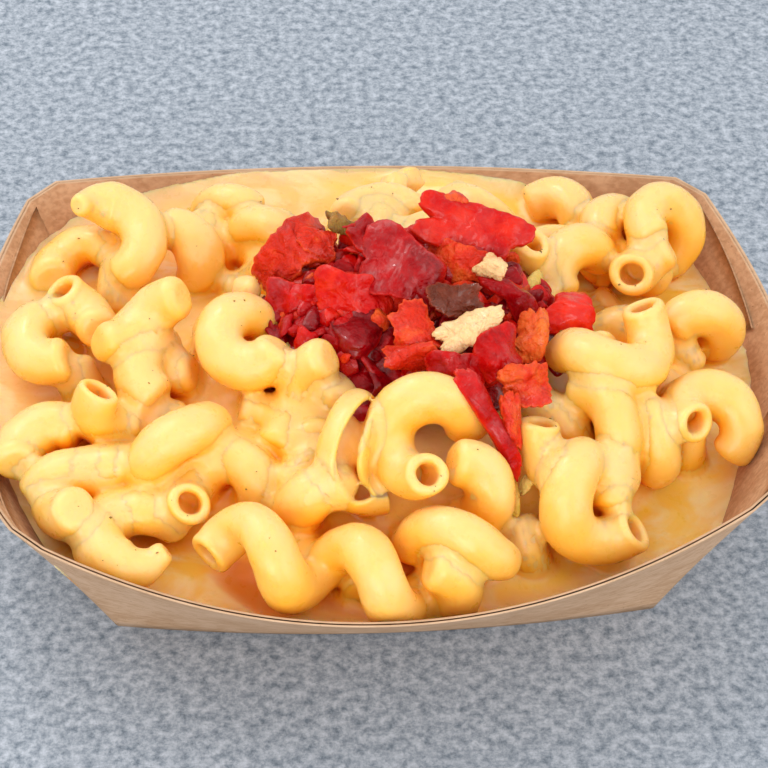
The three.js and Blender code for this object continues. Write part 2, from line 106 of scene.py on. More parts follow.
def make_piece(name, points, face_sets, replaces=(), values=None):
    """A smooth mesh piece from points in mm and arrays of triangles or quads, on the part."""
    mesh = bpy.data.meshes.new(name)
    corners = np.concatenate([faces.ravel() for faces in face_sets]).astype(np.int32)
    sizes = np.concatenate([np.full(len(faces), faces.shape[1]) for faces in face_sets])
    starts = np.concatenate([[0], np.cumsum(sizes)[:-1]]).astype(np.int32)
    mesh.vertices.add(len(points))
    mesh.vertices.foreach_set("co", (np.asarray(points) * MM).astype(np.float32).ravel())
    mesh.loops.add(len(corners))
    mesh.loops.foreach_set("vertex_index", corners)
    mesh.polygons.add(len(starts))
    mesh.polygons.foreach_set("loop_start", starts)
    mesh.update(calc_edges=True)
    mesh.shade_smooth()
    for key, value in (values or {}).items():
        layer = mesh.attributes.new(key, "FLOAT", "POINT")
        layer.data.foreach_set("value", np.asarray(value, dtype=np.float32))
    piece = bpy.data.objects.new(name, mesh)
    bpy.context.scene.collection.objects.link(piece)
    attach(piece, "root")
    if replaces:
        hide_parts(*replaces)
    print(f"{name}: {len(points)} points, {int((sizes - 2).sum())} triangles")
    return piece


def unit(v):
    """Vectors scaled to length 1 along the last axis."""
    return v / np.maximum(np.linalg.norm(v, axis=-1, keepdims=True), 1e-9)


def mix(a, b, t):
    """The value a share t of the way from a to b."""
    return a + (b - a) * t


def ramp(x, low, high):
    """0 below low, 1 above high and an even S-curve between."""
    t = np.clip((x - low) / (high - low), 0, 1)
    return t * t * (3 - 2 * t)


def ripple(p, size, seed, terms=7):
    """Smooth uneven noise in about -1 to 1: waves about size mm long in seeded directions."""
    rng = np.random.default_rng(seed)
    total = 0
    for _ in range(terms):
        way = unit(rng.normal(size=3)) * (2 * math.pi / size) * rng.uniform(0.6, 1.5)
        wave = np.sin(p[..., 0] * way[0] + p[..., 1] * way[1] + p[..., 2] * way[2]
                      + rng.uniform(0, 6.3))
        total = total + wave
    return total / (terms * 0.55)


# %% [markdown]
# ## The boat's walls
#
# A paper boat is cut from a flat sheet, scored along its base and folded up. Its four walls lean
# outwards, and because the sheet wants to spring flat, each wall bellies out and its rim dips in
# the middle. Every wall is therefore one function of two parameters: how far along it a point is,
# and how far up. The same function later tells the sauce where to stop.

# %% The boat's sizes and the wall function
CARD = 0.5
GAP = 0.3
RIM = (150.0, 104.0)
BASE = (116.5, 70.6)
CORNER_HEIGHT = 48.8
LONG_WALL = {"bulge": 18.6, "base_bulge": 4.5, "sag": 10.3}
END_WALL = {"bulge": 14.5, "base_bulge": 1.4, "sag": 9.3}
CORNER_CUT = 4.0
CORNER_SHIFT = {"front_left": (1.3, -1.1, -1.3), "front_right": (-1.2, 1.7, 1.3),
                "back_right": (0.6, -0.2, -0.1), "back_left": (0, 1.1, 1.4)}
SIDES = {"front_left": (-1, -1), "front_right": (1, -1), "back_right": (1, 1),
         "back_left": (-1, 1)}


def corner(name):
    """The rim and base points of a folded corner."""
    sx, sy = SIDES[name]
    rim = np.array([sx * RIM[0] / 2, sy * RIM[1] / 2, CORNER_HEIGHT]) + CORNER_SHIFT[name]
    base = np.array([sx * BASE[0] / 2, sy * BASE[1] / 2, 0.0])
    return rim, base


WALLS = [  # from corner, to corner, form, outward direction, length of the rim
    ("front_left", "front_right", LONG_WALL, (0, -1, 0), RIM[0]),
    ("front_right", "back_right", END_WALL, (1, 0, 0), RIM[1]),
    ("back_right", "back_left", LONG_WALL, (0, 1, 0), RIM[0]),
    ("back_left", "front_left", END_WALL, (-1, 0, 0), RIM[1]),
]


def wall_points(wall, along, up):
    """Points of a wall: along is -1 to 1, up is 0 at the base and 1 at the rim. The base edge and
    the rim are straight lines plus a parabola outwards, and the rim has one more downwards."""
    start, end, form, outward, span = wall
    rim_a, base_a = corner(start)
    rim_b, base_b = corner(end)
    t = ((along * (1 - up * CORNER_CUT / (span / 2)) + 1) / 2)[..., None]
    u = np.broadcast_to(up, along.shape)[..., None]
    belly = 1 - (2 * t - 1) ** 2
    out = np.array(outward, dtype=float)
    base = mix(base_a, base_b, t) + out * form["base_bulge"] * belly
    rim = mix(rim_a, rim_b, t) + out * form["bulge"] * belly
    rim = rim - np.array([0, 0, 1.0]) * form["sag"] * belly
    return mix(base, rim, u)


middle = np.zeros(1)
edge = [wall_points(wall, middle, np.ones(1))[0] for wall in WALLS]
CENTRE = np.array([(edge[1][0] + edge[3][0]) / 2, (edge[0][1] + edge[2][1]) / 2, 0.0])
print("the outline's middle is at", CENTRE.round(3), "mm before it is moved to the origin")

# %% [markdown]
# ## The camera, the light and the floor
#
# The camera looks down at about 44 degrees through a long lens, so the boat's walls stay nearly
# parallel. Three large soft panels light the dish, from the upper left, the right and the front,
# and a small one beside the first makes the glints. An even world fills the shadows. The floor is
# a plain grey stone.

# %% Camera
EYE = np.array([-30.8, -339.6, 364.6]) - CENTRE
PITCH, TURN, ROLL = 43.98 * DEG, 5.28 * DEG, 2.18 * DEG
FOCAL_PIXELS, FRAME_PIXELS, SENSOR = 2200, 768, 36.0

ahead = np.array([math.sin(TURN) * math.cos(PITCH), math.cos(TURN) * math.cos(PITCH),
                  -math.sin(PITCH)])
level_right = np.array([math.cos(TURN), -math.sin(TURN), 0.0])
level_up = np.cross(level_right, ahead)
right = math.cos(ROLL) * level_right + math.sin(ROLL) * level_up
upward = -math.sin(ROLL) * level_right + math.cos(ROLL) * level_up
camera_data = bpy.data.cameras.new("camera")
camera_data.lens = FOCAL_PIXELS / FRAME_PIXELS * SENSOR
camera_data.sensor_width = SENSOR
camera_data.clip_start = 0.01
camera = bpy.data.objects.new("camera", camera_data)
bpy.context.scene.collection.objects.link(camera)
bpy.context.scene.camera = camera
camera.matrix_world = mathutils.Matrix([
    [right[0], upward[0], -ahead[0], EYE[0] * MM],
    [right[1], upward[1], -ahead[1], EYE[1] * MM],
    [right[2], upward[2], -ahead[2], EYE[2] * MM],
    [0, 0, 0, 1]])
print("lens", round(camera_data.lens, 1), "mm, eye at", EYE.round(1))


# %% Lights and floor
def panel(name, place, size, watts, colour):
    """A square soft light that faces the middle of the dish."""
    data = bpy.data.lights.new(name, "AREA")
    data.size = size
    data.energy = watts
    data.color = colour
    lamp = bpy.data.objects.new(name, data)
    bpy.context.scene.collection.objects.link(lamp)
    lamp.location = place
    aim = mathutils.Vector((0, 0, 0.03)) - mathutils.Vector(place)
    lamp.rotation_euler = aim.to_track_quat("-Z", "Y").to_euler()


panel("key_light", (-0.45, 0.30, 0.75), 0.60, 2.5, (1.0, 0.98, 0.95))
panel("glint_light", (-0.25, 0.45, 0.70), 0.07, 0.45, (1.0, 1.0, 1.0))
panel("fill_light", (0.70, -0.45, 0.55), 0.70, 2.4, (1.0, 0.99, 0.97))
panel("front_light", (-0.20, -0.80, 0.36), 0.60, 3.6, (1.0, 0.99, 0.97))
world = bpy.data.worlds.new("studio")
bpy.context.scene.world = world
world.use_nodes = True
glow = world.node_tree.nodes["Background"].inputs
glow["Color"].default_value = (1.0, 0.985, 0.96, 1)
glow["Strength"].default_value = 0.90
# Colours are shown as they are: a film-like view would bleach the cheese and turn the reds pink.
bpy.context.scene.view_settings.view_transform = "Standard"


FLOOR_GRAIN, FLOOR_ROUGHNESS = 420, 0.75
FLOOR_TONES = ((0.36, (0.13, 0.17, 0.22, 1)), (0.64, (0.48, 0.53, 0.61, 1)))


def floor_material():
    """Cool grey and matt, with a fine mottle."""
    material = bpy.data.materials.new("stone_floor")
    material.use_nodes = True
    nodes, links = material.node_tree.nodes, material.node_tree.links
    shader = nodes["Principled BSDF"]
    place, noise, tones = (nodes.new("ShaderNode" + kind)
                           for kind in ("TexCoord", "TexNoise", "ValToRGB"))
    for node, key, value in ((shader, "Roughness", FLOOR_ROUGHNESS),
                             (noise, "Scale", FLOOR_GRAIN), (noise, "Detail", 6),
                             (noise, "Roughness", FLOOR_ROUGHNESS)):
        node.inputs[key].default_value = value
    for element, (position, colour) in zip(tones.color_ramp.elements, FLOOR_TONES):
        element.position, element.color = position, colour
    links.new(place.outputs["Object"], noise.inputs["Vector"])
    links.new(noise.outputs["Fac"], tones.inputs["Fac"])
    links.new(tones.outputs["Color"], shader.inputs["Base Color"])
    return material


FLOOR_REACH = 1.5
floor_mesh = bpy.data.meshes.new("floor")
floor_mesh.from_pydata([(x * FLOOR_REACH, y * FLOOR_REACH, 0)
                        for x, y in ((-1, -1), (1, -1), (1, 1), (-1, 1))], [], [(0, 1, 2, 3)])
floor = bpy.data.objects.new("floor", floor_mesh)
bpy.context.scene.collection.objects.link(floor)
floor_mesh.materials.append(floor_material())
print("four lights, and a floor", 2 * FLOOR_REACH, "m across")

# %% [markdown]
# ## Folding the boats
#
# Each boat is one sheet of card, so it is one closed shell: a row of rings runs from the middle of
# the base out to the fold, up the outside of the walls, over the cut edge and back down the
# inside. The insets follow the wall's own direction, so the card keeps its thickness in the
# corners. A very slight warp takes the stiffness out of the walls, as grease and steam do.

# %% Rings round the boat
LONG_STEPS, END_STEPS = 60, 44
BASE_CORNER_CUT = 0.8
EDGE_ROUND = 0.12
WARP_WAVE, WARP_EVEN, WARP_UNEVEN, WARP_LEAN = 70, 0.28, 0.25, 0.06
WALL_UPS = np.linspace(0, 1, 15)
BASE_SCALES = (0.25, 0.5, 0.75, 0.97)


def boat_rings(ups, insets, lifts, scales):
    """Rings of wall points at the given heights, pushed inwards along the flat normal, then drawn
    towards the middle by a scale for the rings of the base panel."""
    rows = []
    for up, inset, lift, scale in zip(ups, insets, lifts, scales):
        ring = []
        for wall in WALLS:
            steps = LONG_STEPS if wall[2] is LONG_WALL else END_STEPS
            half = wall[4] / 2
            along = np.linspace(-1, 1, steps) * (1 - (1 - up) * BASE_CORNER_CUT / half)
            ring.append(wall_points(wall, along, up))
        ring = np.concatenate(ring)
        way = np.roll(ring, -1, axis=0) - np.roll(ring, 1, axis=0)
        way = unit(way * [1, 1, 0])
        inward = np.stack([-way[:, 1], way[:, 0], np.zeros(len(way))], axis=1)
        ring = ring + inward * inset
        centre = ring.mean(axis=0) * [1, 1, 0]
        ring = centre + (ring - centre) * [scale, scale, 1] + [0, 0, lift]
        rows.append(ring)
    return np.stack(rows) - CENTRE


def card_warp(points):
    """A slow waviness of half a millimetre, inwards only, that fades at the base and the rim."""
    height = np.clip(points[..., 2:] / CORNER_HEIGHT, 0, 1)
    uneven = ripple(points, WARP_WAVE, 3)[..., None]
    amount = np.sin(math.pi * height) * (WARP_EVEN + WARP_UNEVEN * uneven)
    return points - unit(points * [1, 1, 0]) * (np.maximum(amount, 0) + WARP_LEAN * height)


def boat_shell(name, inset, lift, replaces):
    """One folded sheet: base panel and walls outside, cut edge, walls and base panel inside."""
    side = [(0, scale) for scale in BASE_SCALES] + [(up, 1.0) for up in WALL_UPS]
    rings = ([(*place, 0.0, 0.0) for place in side]
             + [(1.0, 1.0, EDGE_ROUND, 0.0), (1.0, 1.0, CARD - EDGE_ROUND, 0.0)]
             + [(*place, CARD, CARD) for place in side[::-1]])
    ups, scales, insets, raised = np.array(rings).T
    rows = boat_rings(ups, inset + insets, (lift + raised) * (1 - ups) ** 6, scales)
    outer_edge = len(side) - 1
    rows[[outer_edge, outer_edge + 3], :, 2] -= EDGE_ROUND
    rows = card_warp(rows)
    up_values = np.concatenate([np.repeat(ups, rows.shape[1]), [0, 0]])
    return make_piece(name, with_tips(rows), closed_grid(*rows.shape[:2]), replaces,
                      {"up": up_values})


outer_boat = boat_shell("card_boat_outer", 0.0, 0.0, ("boat_outer",))
inner_boat = boat_shell("card_boat_inner", CARD + GAP, CARD + GAP, ("boat_inner",))

# %% [markdown]
# ## The folded gussets
#
# Where a long wall meets an end wall, the spare card of the corner is folded into a triangle and
# pressed against the inside of the end wall. Its free edge runs from the base corner up to the
# rim, its top edge sits a little lower than the rim, and it springs away from the wall, which is
# what shows as a dark slot.

# %% Gusset plates
GUSSET_FOOT, GUSSET_TOP, GUSSET_DIP = 0.02, 0.975, 0.07
GUSSET_EDGE = (0.97, 0.26)  # how far along the wall the free edge is, at the base and at the rim
GUSSET_CREASE = 0.995
GUSSET_THICK, GUSSET_CLEAR, GUSSET_WAVE = CARD * 0.8, 0.12, 0.15
GUSSET_STEPS, GUSSET_UPS = 14, 16


def gusset(name, wall, side, spring):
    """A thin triangular plate: along runs from the corner crease to the free edge, up from the
    base corner to just below the rim. Its distance from the wall grows towards the free edge."""
    up = np.linspace(GUSSET_FOOT, GUSSET_TOP, GUSSET_UPS)[:, None]
    share = np.linspace(0, 1, GUSSET_STEPS)[None, :]
    along = mix(GUSSET_CREASE, mix(*GUSSET_EDGE, up), share)
    points = wall_points(wall, side * along, up - GUSSET_DIP * share * up) - CENTRE
    inward = -np.array(wall[3], dtype=float)
    depth = 2 * CARD + GAP + GUSSET_CLEAR + spring * share ** 1.5 * up
    depth = depth + GUSSET_WAVE * ripple(points, 25, 7 + side)
    front = points + inward * (depth + GUSSET_THICK)[..., None]
    back = points + inward * depth[..., None]
    sheet = np.concatenate([back, front[:, ::-1]], axis=1)
    rows, loop = sheet.shape[:2]
    k = np.arange(loop // 2 - 1)
    strip = np.stack([k, k + 1, loop - 2 - k, loop - 1 - k], axis=1)
    faces = np.concatenate([grid_faces(rows, loop), strip, strip[:, ::-1] + (rows - 1) * loop])
    if side * wall[3][0] > 0:
        faces = faces[:, ::-1]
    return make_piece(name, sheet.reshape(-1, 3), [faces], (),
                      {"up": np.repeat(up, loop)})


gussets = [
    gusset("gusset_front_right", WALLS[1], -1, 1.2),
    gusset("gusset_back_right", WALLS[1], 1, 0.9),
    gusset("gusset_back_left", WALLS[3], -1, 1.0),
    gusset("gusset_front_left", WALLS[3], 1, 1.8),
]

# %% [markdown]
# ## Corkscrew noodles
#
# A corkscrew noodle is a tube whose centre line is a helix:
# P(t) = centre + axis pitch t / 2 pi + radius (side cos(t + phase) + third sin(t + phase)).
# The table says how each noodle on top lies. The same rows gave the frame's heap its form, so the
# noodles land where its solids are. Underneath lies a layer that follows a sunflower spiral
# wherever no noodle or pepper above hides the place.

# %% How the noodles lie
TUBE, BORE = 4.75, 2.5
COILS = {"tight": (5.5, 18.0), "loose": (6.3, 20.5), "long": (5.1, 21.0), "slack": (3.0, 28.0)}
GOLDEN = (math.sqrt(5) - 1) / 2
END_GIRTH, MIDDLE_GIRTH, PINCH_GIRTH, PINCH_LENGTH = 0.94, 1.08, 0.42, 9.0
TOPPING_CLEAR = 8
LEVEL = {"height": 33.5, "rise": 0.095, "fall": 0.035}
CORE = {"x": 0, "y": -1, "length": 69, "depth": 53, "edge": 31, "top": 48.5}
# coil, centre x y z, heading, tilt, phase, turns, and what is seen of it: the end that lies open
# or is pinched, or that the noodle is split along its length
NOODLES = [
    ("loose", -57, 32, 52.5, 325, -80, 17, 0.74, "pinched start"),
    ("tight", -64.5, 9.5, 51, 249, -36, 277, 0.42, "start"),
    ("tight", -65, 33, 43, 17, -42, 350, 0.6, ""),
    ("slack", -50.5, 0.7, 55, 185, -10, 233, 0.68, ""),
    ("tight", -70, 6, 45, 284, 55, 175, 0.66, "start"),
    ("tight", -54.5, -18, 48, 299, -31, 221, 0.5, "start"),
    ("tight", -46, -6, 46, 285, 47, 147, 0.55, ""),
    ("loose", -43, -26.5, 44.5, 90, 25, 81, 0.58, ""),
    ("tight", -29, -4.5, 53.5, 284, 43, 173, 0.92, ""),
    ("loose", -15, -20, 50.5, 222, -5, 225, 0.64, ""),
    ("tight", -27.5, -22, 44.5, 289, -48, 351, 0.5, ""),
    ("tight", -70, -23.5, 43, 202, 47, 193, 0.54, ""),
    ("slack", -65.5, -38, 42.5, 265, 44, 255, 0.5, ""),
    ("tight", -58, -26, 37, 69, 23, 119, 0.45, ""),
    ("loose", -53, -45.5, 38.5, 297, 55, 175, 0.73, "pinched end"),
    ("tight", -35, -33.5, 41, 23, -39, 18, 0.94, "start"),
    ("long", -14.5, -55, 39, 352, -12, 316, 2.2, "start"),
    ("loose", 11.5, -51.5, 39, 29, 12, 93, 0.68, ""),
    ("tight", 6, -56.5, 34.5, 71, -24, 169, 0.46, ""),
    ("tight", 13.5, -40.5, 44, 74, -51, 173, 0.62, ""),
    ("loose", 5.5, -32.5, 53, 62, -19, 17, 0.98, "start"),
    ("loose", -6.5, -34, 49, 311, -8, 154, 0.67, "split"),
    ("tight", -14, -39.5, 40.5, 268, -34, 141, 0.58, ""),
    ("tight", 32, -35, 51, 232, -1, 259, 0.45, "start"),
    ("loose", 43.5, -23.5, 43, 356, -32, 116, 0.64, ""),
    ("loose", 39, -43, 42, 304, -1, 179, 0.84, "end"),
    ("tight", 53, -21.5, 39, 5, -26, 136, 0.53, ""),
    ("tight", 68, -19.5, 42, 45, -67, 56, 0.88, "start"),
    ("tight", 65.5, 35.5, 47, 94, -53, 124, 0.94, ""),
    ("tight", 55.5, 38.5, 42, 111, -45, 113, 0.58, ""),
    ("tight", 45, 24.5, 45, 92, -22, 69, 0.65, ""),
    ("tight", 61, 21.5, 51, 351, -28, 292, 0.42, "start"),
    ("loose", 48, -9.5, 53, 198, -42, 2, 0.9, "start"),
    ("tight", 69.5, 8.5, 40.5, 74, -18, 136, 0.66, ""),
    ("tight", -31, 49, 39, 39, 1, 55, 0.46, ""),
    ("tight", -24.5, 37.5, 42, 26, 4, 39, 0.5, ""),
    ("tight", -43.5, 34.5, 43, 39, -49, 127, 0.5, ""),
    ("tight", 2, 43, 46.5, 346, -54, 334, 0.56, ""),
    ("tight", 38.5, 20.5, 51, 262, -30, 221, 0.42, "start"),
    ("tight", 43, 48.5, 39.5, 0, -38, 57, 0.5, ""),
    ("tight", 24, 46, 42, 200, -20, 80, 0.55, ""),
]
# centre x y z, heading, tilt and phase of the low noodles near the walls that carry others
LOW_NOODLES = [
    (-51, -39, 34, 60, 0, 90), (-65, -30, 37, 250, 0, 90), (-56, 29, 38.5, 320, 0, 90),
    (40, -34, 38, 60, 0, 90), (41, 37, 36.5, 250, 0, 90), (63, 9, 34, 180, 0, 90),
    (57, 31, 36, 220, 0, 90), (3, 39, 41, 340, 0, 90),
]
BED = {"x": 5, "y": 4, "length": 34, "depth": 27, "edge": 46.5, "top": 57.5, "rise": 0.12}
# name, kind, centre x y z, length, depth, thickness, turn, lean, the compass it leans to, curl,
# squareness, taper
TOPPINGS = [
    ("pepper_left", "flesh", -19.4, 16.8, 58.5, 16.6, 11, 5, 24, 30, 250, 1.4, 4, -0.22),
    ("pepper_left_top", "flesh", -13.4, 18.2, 60.5, 6.8, 9.1, 4, 70, 22, 260, 0.8, 3, 0.1),
    ("pepper_left_skin", "skin", -18, 5.2, 54.8, 14, 9.1, 3.2, 344, 45, 240, 1, 4, 0.1),
    ("pepper_square", "skin", -6.2, 1.4, 59.3, 15.1, 11, 4, 348, 40, 262, 1, 5, 0),
    ("pepper_wedge", "dark", -7, -9.5, 55.8, 12.5, 7.9, 3.6, 258, 50, 262, 1.4, 5, 0.8),
    ("pepper_sheet", "dark", 3.7, 7.2, 62.2, 18.9, 13.8, 3.2, 336, 36, 272, 2.2, 3, 0.1),
    ("pepper_fold", "skin", -2.1, 16, 62.6, 11.3, 6.3, 4.2, 308, 28, 255, 1.8, 3, 0.25),
    ("herb_bit", "herb", -7.4, 23, 60.5, 7.2, 5.3, 3, 15, 20, 90, 0.6, 3, 0),
    ("pepper_back", "skin", 19.2, 20.1, 62.4, 24.5, 11.4, 4.2, 342, 30, 285, 2.6, 2.2, 0.05),
    ("pepper_back_lump", "flesh", 15.1, 25.9, 64.4, 8.3, 5.7, 4.2, 18, 14, 90, 0.6, 3, -0.15),
    ("pepper_middle", "flesh", 17.3, 10.3, 60.2, 16.6, 8.7, 4.4, 346, 40, 280, 1.2, 3, 0.1),
    ("garlic_bit", "onion", 23.1, 6.3, 63, 5.3, 5.7, 3.2, 60, 40, 285, 0.4, 3, 0.2),
    ("pepper_right_strip", "dark", 27, 2.1, 58.2, 15.1, 5.4, 3.6, 326, 34, 300, 1.6, 3, -0.1),
    ("pepper_far_right", "skin", 39.4, 0.4, 54.5, 10.2, 10, 4.4, 82, 34, 300, 1.2, 4, 0.3),
    ("char_bit", "char", 14.5, -1.9, 61, 11.3, 6.9, 3.2, 2, 36, 270, 0.8, 3, 0),
    ("pepper_front_left", "flesh", 5.5, -9.2, 59.6, 9.4, 11.4, 4, 12, 38, 262, 1.2, 4, 0),
    ("onion_chunk", "onion", 16.4, -11.1, 60.4, 14.7, 7.2, 5, 18, 38, 272, 0.8, 3, -0.15),
    ("pepper_front_right", "skin", 22.1, -16.3, 59.2, 9.8, 10.3, 4.2, 24, 38, 285, 1.2, 4, 0.1),
    ("pepper_orange", "flesh", 30, -9.1, 57, 6, 12, 4, 352, 34, 290, 1, 4, 0),
    ("pepper_front", "flesh", 4.3, -15.3, 57.8, 10.2, 5.7, 3.8, 356, 44, 262, 1, 3, -0.15),
    ("pepper_front_strip", "skin", 13.7, -19, 58.4, 11.7, 6.1, 3.8, 350, 42, 270, 1, 4, 0),
    ("pepper_strand", "skin", 19.2, -31.6, 55.3, 23, 4.5, 3.6, 308, 44, 290, 1.8, 3, 0.15),
    ("pepper_orange_tip", "flesh", 27.2, -22.5, 56, 10.2, 8.7, 3.8, 15, 40, 290, 1, 3, -0.1),
    ("pepper_orange_strip", "flesh", 23.7, -30, 53.6, 4.9, 10.6, 3.2, 5, 42, 290, 0.8, 3, 0),
]


def core_height(rho):
    """The top of the heap's core; rho is 0 in its middle and 1 at its edge."""
    return mix(CORE["edge"], CORE["top"], 1 - np.minimum(rho, 1) ** 3)


def level_at(x, y):
    """The pool's level, which leans a little across the boat."""
    return LEVEL["height"] + LEVEL["rise"] * y - LEVEL["fall"] * x


class Coil:
    """A noodle's centre line as functions of t, in radians from its middle."""

    def __init__(self, row, seed):
        """A low noodle's row ends with its turns, and has no word on what is seen of it."""
        kind, x, y, z, heading, tilt, phase, turns = row[:8]
        self.wander = np.random.default_rng(seed).uniform(0, 2 * math.pi, 2)
        self.radius, self.pitch = COILS[kind]
        feature = row[8] if len(row) > 8 else "low"
        self.open_end = feature if feature in ("start", "end") else ""
        self.pinched = {"pinched start": -1, "pinched end": 1}.get(feature, 0)
        self.split = feature == "split"
        self.low = feature == "low"
        self.phase, self.half = phase * DEG, turns * math.pi
        h, e = heading * DEG, tilt * DEG
        self.axis = np.array([math.cos(e) * math.cos(h), math.cos(e) * math.sin(h), math.sin(e)])
        self.side = np.array([-math.sin(h), math.cos(h), 0.0])
        self.third = np.cross(self.axis, self.side)
        self.centre = np.array([x, y, z], dtype=float)
        self.speed = math.hypot(self.radius, self.pitch / (2 * math.pi))

    def outward(self, t):
        """The direction from the helix's axis to the centre line."""
        a = np.asarray(t)[..., None] + self.phase
        return self.side * np.cos(a) + self.third * np.sin(a)

    def at(self, t):
        """Points of the centre line."""
        t = np.asarray(t, dtype=float)
        rise = t[..., None] * (self.pitch / (2 * math.pi))
        return self.centre + self.axis * rise + self.outward(t) * self.radius

    def girth(self, t):
        """How full the noodle is at t: fullest in its middle and squeezed at a pinched end."""
        if self.low:
            return np.ones_like(t)
        full = mix(END_GIRTH, MIDDLE_GIRTH, np.cos(np.clip(t / self.half, -1, 1) * math.pi / 2))
        if self.pinched:
            share = (self.half - self.pinched * t) * self.speed / PINCH_LENGTH
            full = full * mix(PINCH_GIRTH, 1, np.clip(share, 0, 1))
        return full

    def way(self, t):
        """The direction in which the centre line runs."""
        a = np.asarray(t)[..., None] + self.phase
        around = self.third * np.cos(a) - self.side * np.sin(a)
        return unit(self.axis * (self.pitch / (2 * math.pi)) + around * self.radius)


def under_rows(count, turns, sink, rise, clear, seed, above):
    """Noodles on a sunflower spiral over the core, where nothing in `above` hides the place."""
    paths = np.concatenate([coil.at(np.linspace(-1, 1, 5) * coil.half) for coil in above])
    tops = np.array([row[2:4] for row in TOPPINGS], dtype=float)
    rows = []
    for i in range(count):
        rho = math.sqrt((i + 0.5) / count)
        angle = 2 * math.pi * (GOLDEN * i + seed)
        x = CORE["x"] + CORE["length"] * rho * math.cos(angle)
        y = CORE["y"] + CORE["depth"] * rho * math.sin(angle)
        z = max(float(core_height(rho)) - sink, level_at(x, y) + rise)
        if np.linalg.norm(paths - [x, y, z], axis=1).min() < clear:
            continue
        if np.hypot(tops[:, 0] - x, tops[:, 1] - y).min() < TOPPING_CLEAR:
            continue
        rows.append(("tight", x, y, z, 360 * (i * GOLDEN % 1), 50 * (i * GOLDEN ** 2 % 1 - 0.5),
                     360 * ((0.5 + i * GOLDEN * 3) % 1), turns))
    return rows


def make_coils(rows, seed):
    """A centre line for each row, with seeds that count up."""
    return [Coil(row, seed + i) for i, row in enumerate(rows)]


top_coils = make_coils(NOODLES, 100)
low_rows = [("tight", *place, 0.5) for place in LOW_NOODLES]
under_coils = make_coils(under_rows(48, 0.5, 0.5, 1, 8, 0, top_coils) + low_rows, 200)
above = top_coils + under_coils
deep_coils = make_coils(under_rows(80, 0.62, 6.5, -3, 6.0, 0.37, above), 300)
print(len(top_coils), "noodles on top,", len(under_coils), "under them,", len(deep_coils), "deep")

# %% [markdown]
# ## Tubes as closed grids
#
# Each noodle is a tube. Rings run along its outside. At an open end they roll over the rim and go
# down the bore, and at an end that is filled with sauce they roll over a rounded edge to its
# middle. The radius wanders by a few per cent and the section is slightly oval, because cooked
# pasta is soft. A gentle unevenness is a function of place alone, so noodle and sauce share it
# and meet without a step.

# %% Noodle surfaces
WALL = (TUBE - BORE) / 2
MIDDLE = (TUBE + BORE) / 2
END_ROUND = 2.3
BORE_DEPTH, BORE_MOUTH = 7.5, 0.8
# height and size of the dents and wrinkles in mm, seed, number of waves
COAT_NOISE = ((0.22, 11, 21, 7), (0.09, 4.2, 22, 11), (0.03, 1.9, 23, 11))


def skin_noise(points):
    """Millimetres by which the coated surface stands out: soft dents plus finer wrinkles."""
    return sum(height * ripple(points, *wave) for height, *wave in COAT_NOISE)


def oval(coil, t, angle):
    """The factor on a noodle's radius: a little oval, and fuller in some places than in others."""
    a, b = coil.wander
    wander = (1 + 0.05 * np.cos(2 * angle + a + 0.8 * t)) * (1 + 0.03 * np.sin(1.7 * t + b))
    return wander * coil.girth(t)


def end_reach(coil, end):
    """How far the full tube goes towards an end, in radians, before its rim or edge rolls over."""
    return coil.half - (WALL if coil.open_end == end else END_ROUND) / coil.speed


def end_rings(coil, end):
    """Rings from an end's innermost one to the full tube: angle t, radius, shift along the tube,
    and the outward direction's parts along the radius and along the tube."""
    sign = -1 if end == "start" else 1
    reach = sign * end_reach(coil, end)
    if coil.open_end == end:
        deep = np.linspace(BORE_DEPTH, BORE_MOUTH, 6)
        roll = np.linspace(math.pi, 0, 9)
        zero = np.zeros(len(deep))
        return (np.concatenate([reach - sign * deep / coil.speed, np.full(len(roll), reach)]),
                np.concatenate([zero + BORE, MIDDLE + WALL * np.cos(roll)]),
                np.concatenate([zero, sign * WALL * np.sin(roll)]),
                np.concatenate([zero - 1, np.cos(roll)]),
                np.concatenate([zero, sign * np.sin(roll)]))
    disc = np.linspace(0.15, 1, 4)[:-1]
    roll = np.linspace(math.pi / 2, 0, 7)
    flat_radius = TUBE - END_ROUND
    radius = np.concatenate([disc * flat_radius, flat_radius + END_ROUND * np.cos(roll)])
    shift = sign * END_ROUND * np.concatenate([np.ones(len(disc)), np.sin(roll)])
    across = np.concatenate([np.zeros(len(disc)), np.cos(roll)])
    return np.full(len(radius), reach), radius, shift, across, sign * np.sqrt(1 - across ** 2)


def tube_mesh(coil, step, cols):
    """Points and face arrays of one noodle."""
    head, tail = end_rings(coil, "start"), end_rings(coil, "end")
    low, high = -end_reach(coil, "start"), end_reach(coil, "end")
    inner = np.linspace(low, high, max(5, int((high - low) * coil.speed / step)) + 1)[1:-1]
    zero = np.zeros(len(inner))
    run = (inner, zero + TUBE, zero, zero + 1, zero)
    t, radius, shift, across_part, way_part = (
        np.concatenate([a, b, c[::-1]]) for a, b, c in zip(head, run, tail))
    angle = np.linspace(0, 2 * math.pi, cols, endpoint=False)[None, :]
    out, way = coil.outward(t), coil.way(t)
    across = np.cross(way, out)
    normal = out[:, None] * np.cos(angle)[..., None] + across[:, None] * np.sin(angle)[..., None]
    r = (radius[:, None] * oval(coil, t[:, None], angle))[..., None]
    points = coil.at(t)[:, None] + way[:, None] * shift[:, None, None] + normal * r
    face_out = normal * across_part[:, None, None] + way[:, None] * way_part[:, None, None]
    points = points + face_out * skin_noise(points)[..., None]
    return with_tips(points), *closed_grid(len(t), cols)


# %% [markdown]
# ## One noodle is split along its length
#
# Its section is a C: an outer arc, a thin rounded lip, an inner arc back and the other lip. The C
# opens towards one side, whichever way the noodle turns. Its mouth is widest in the middle and
# shut at the lower end.

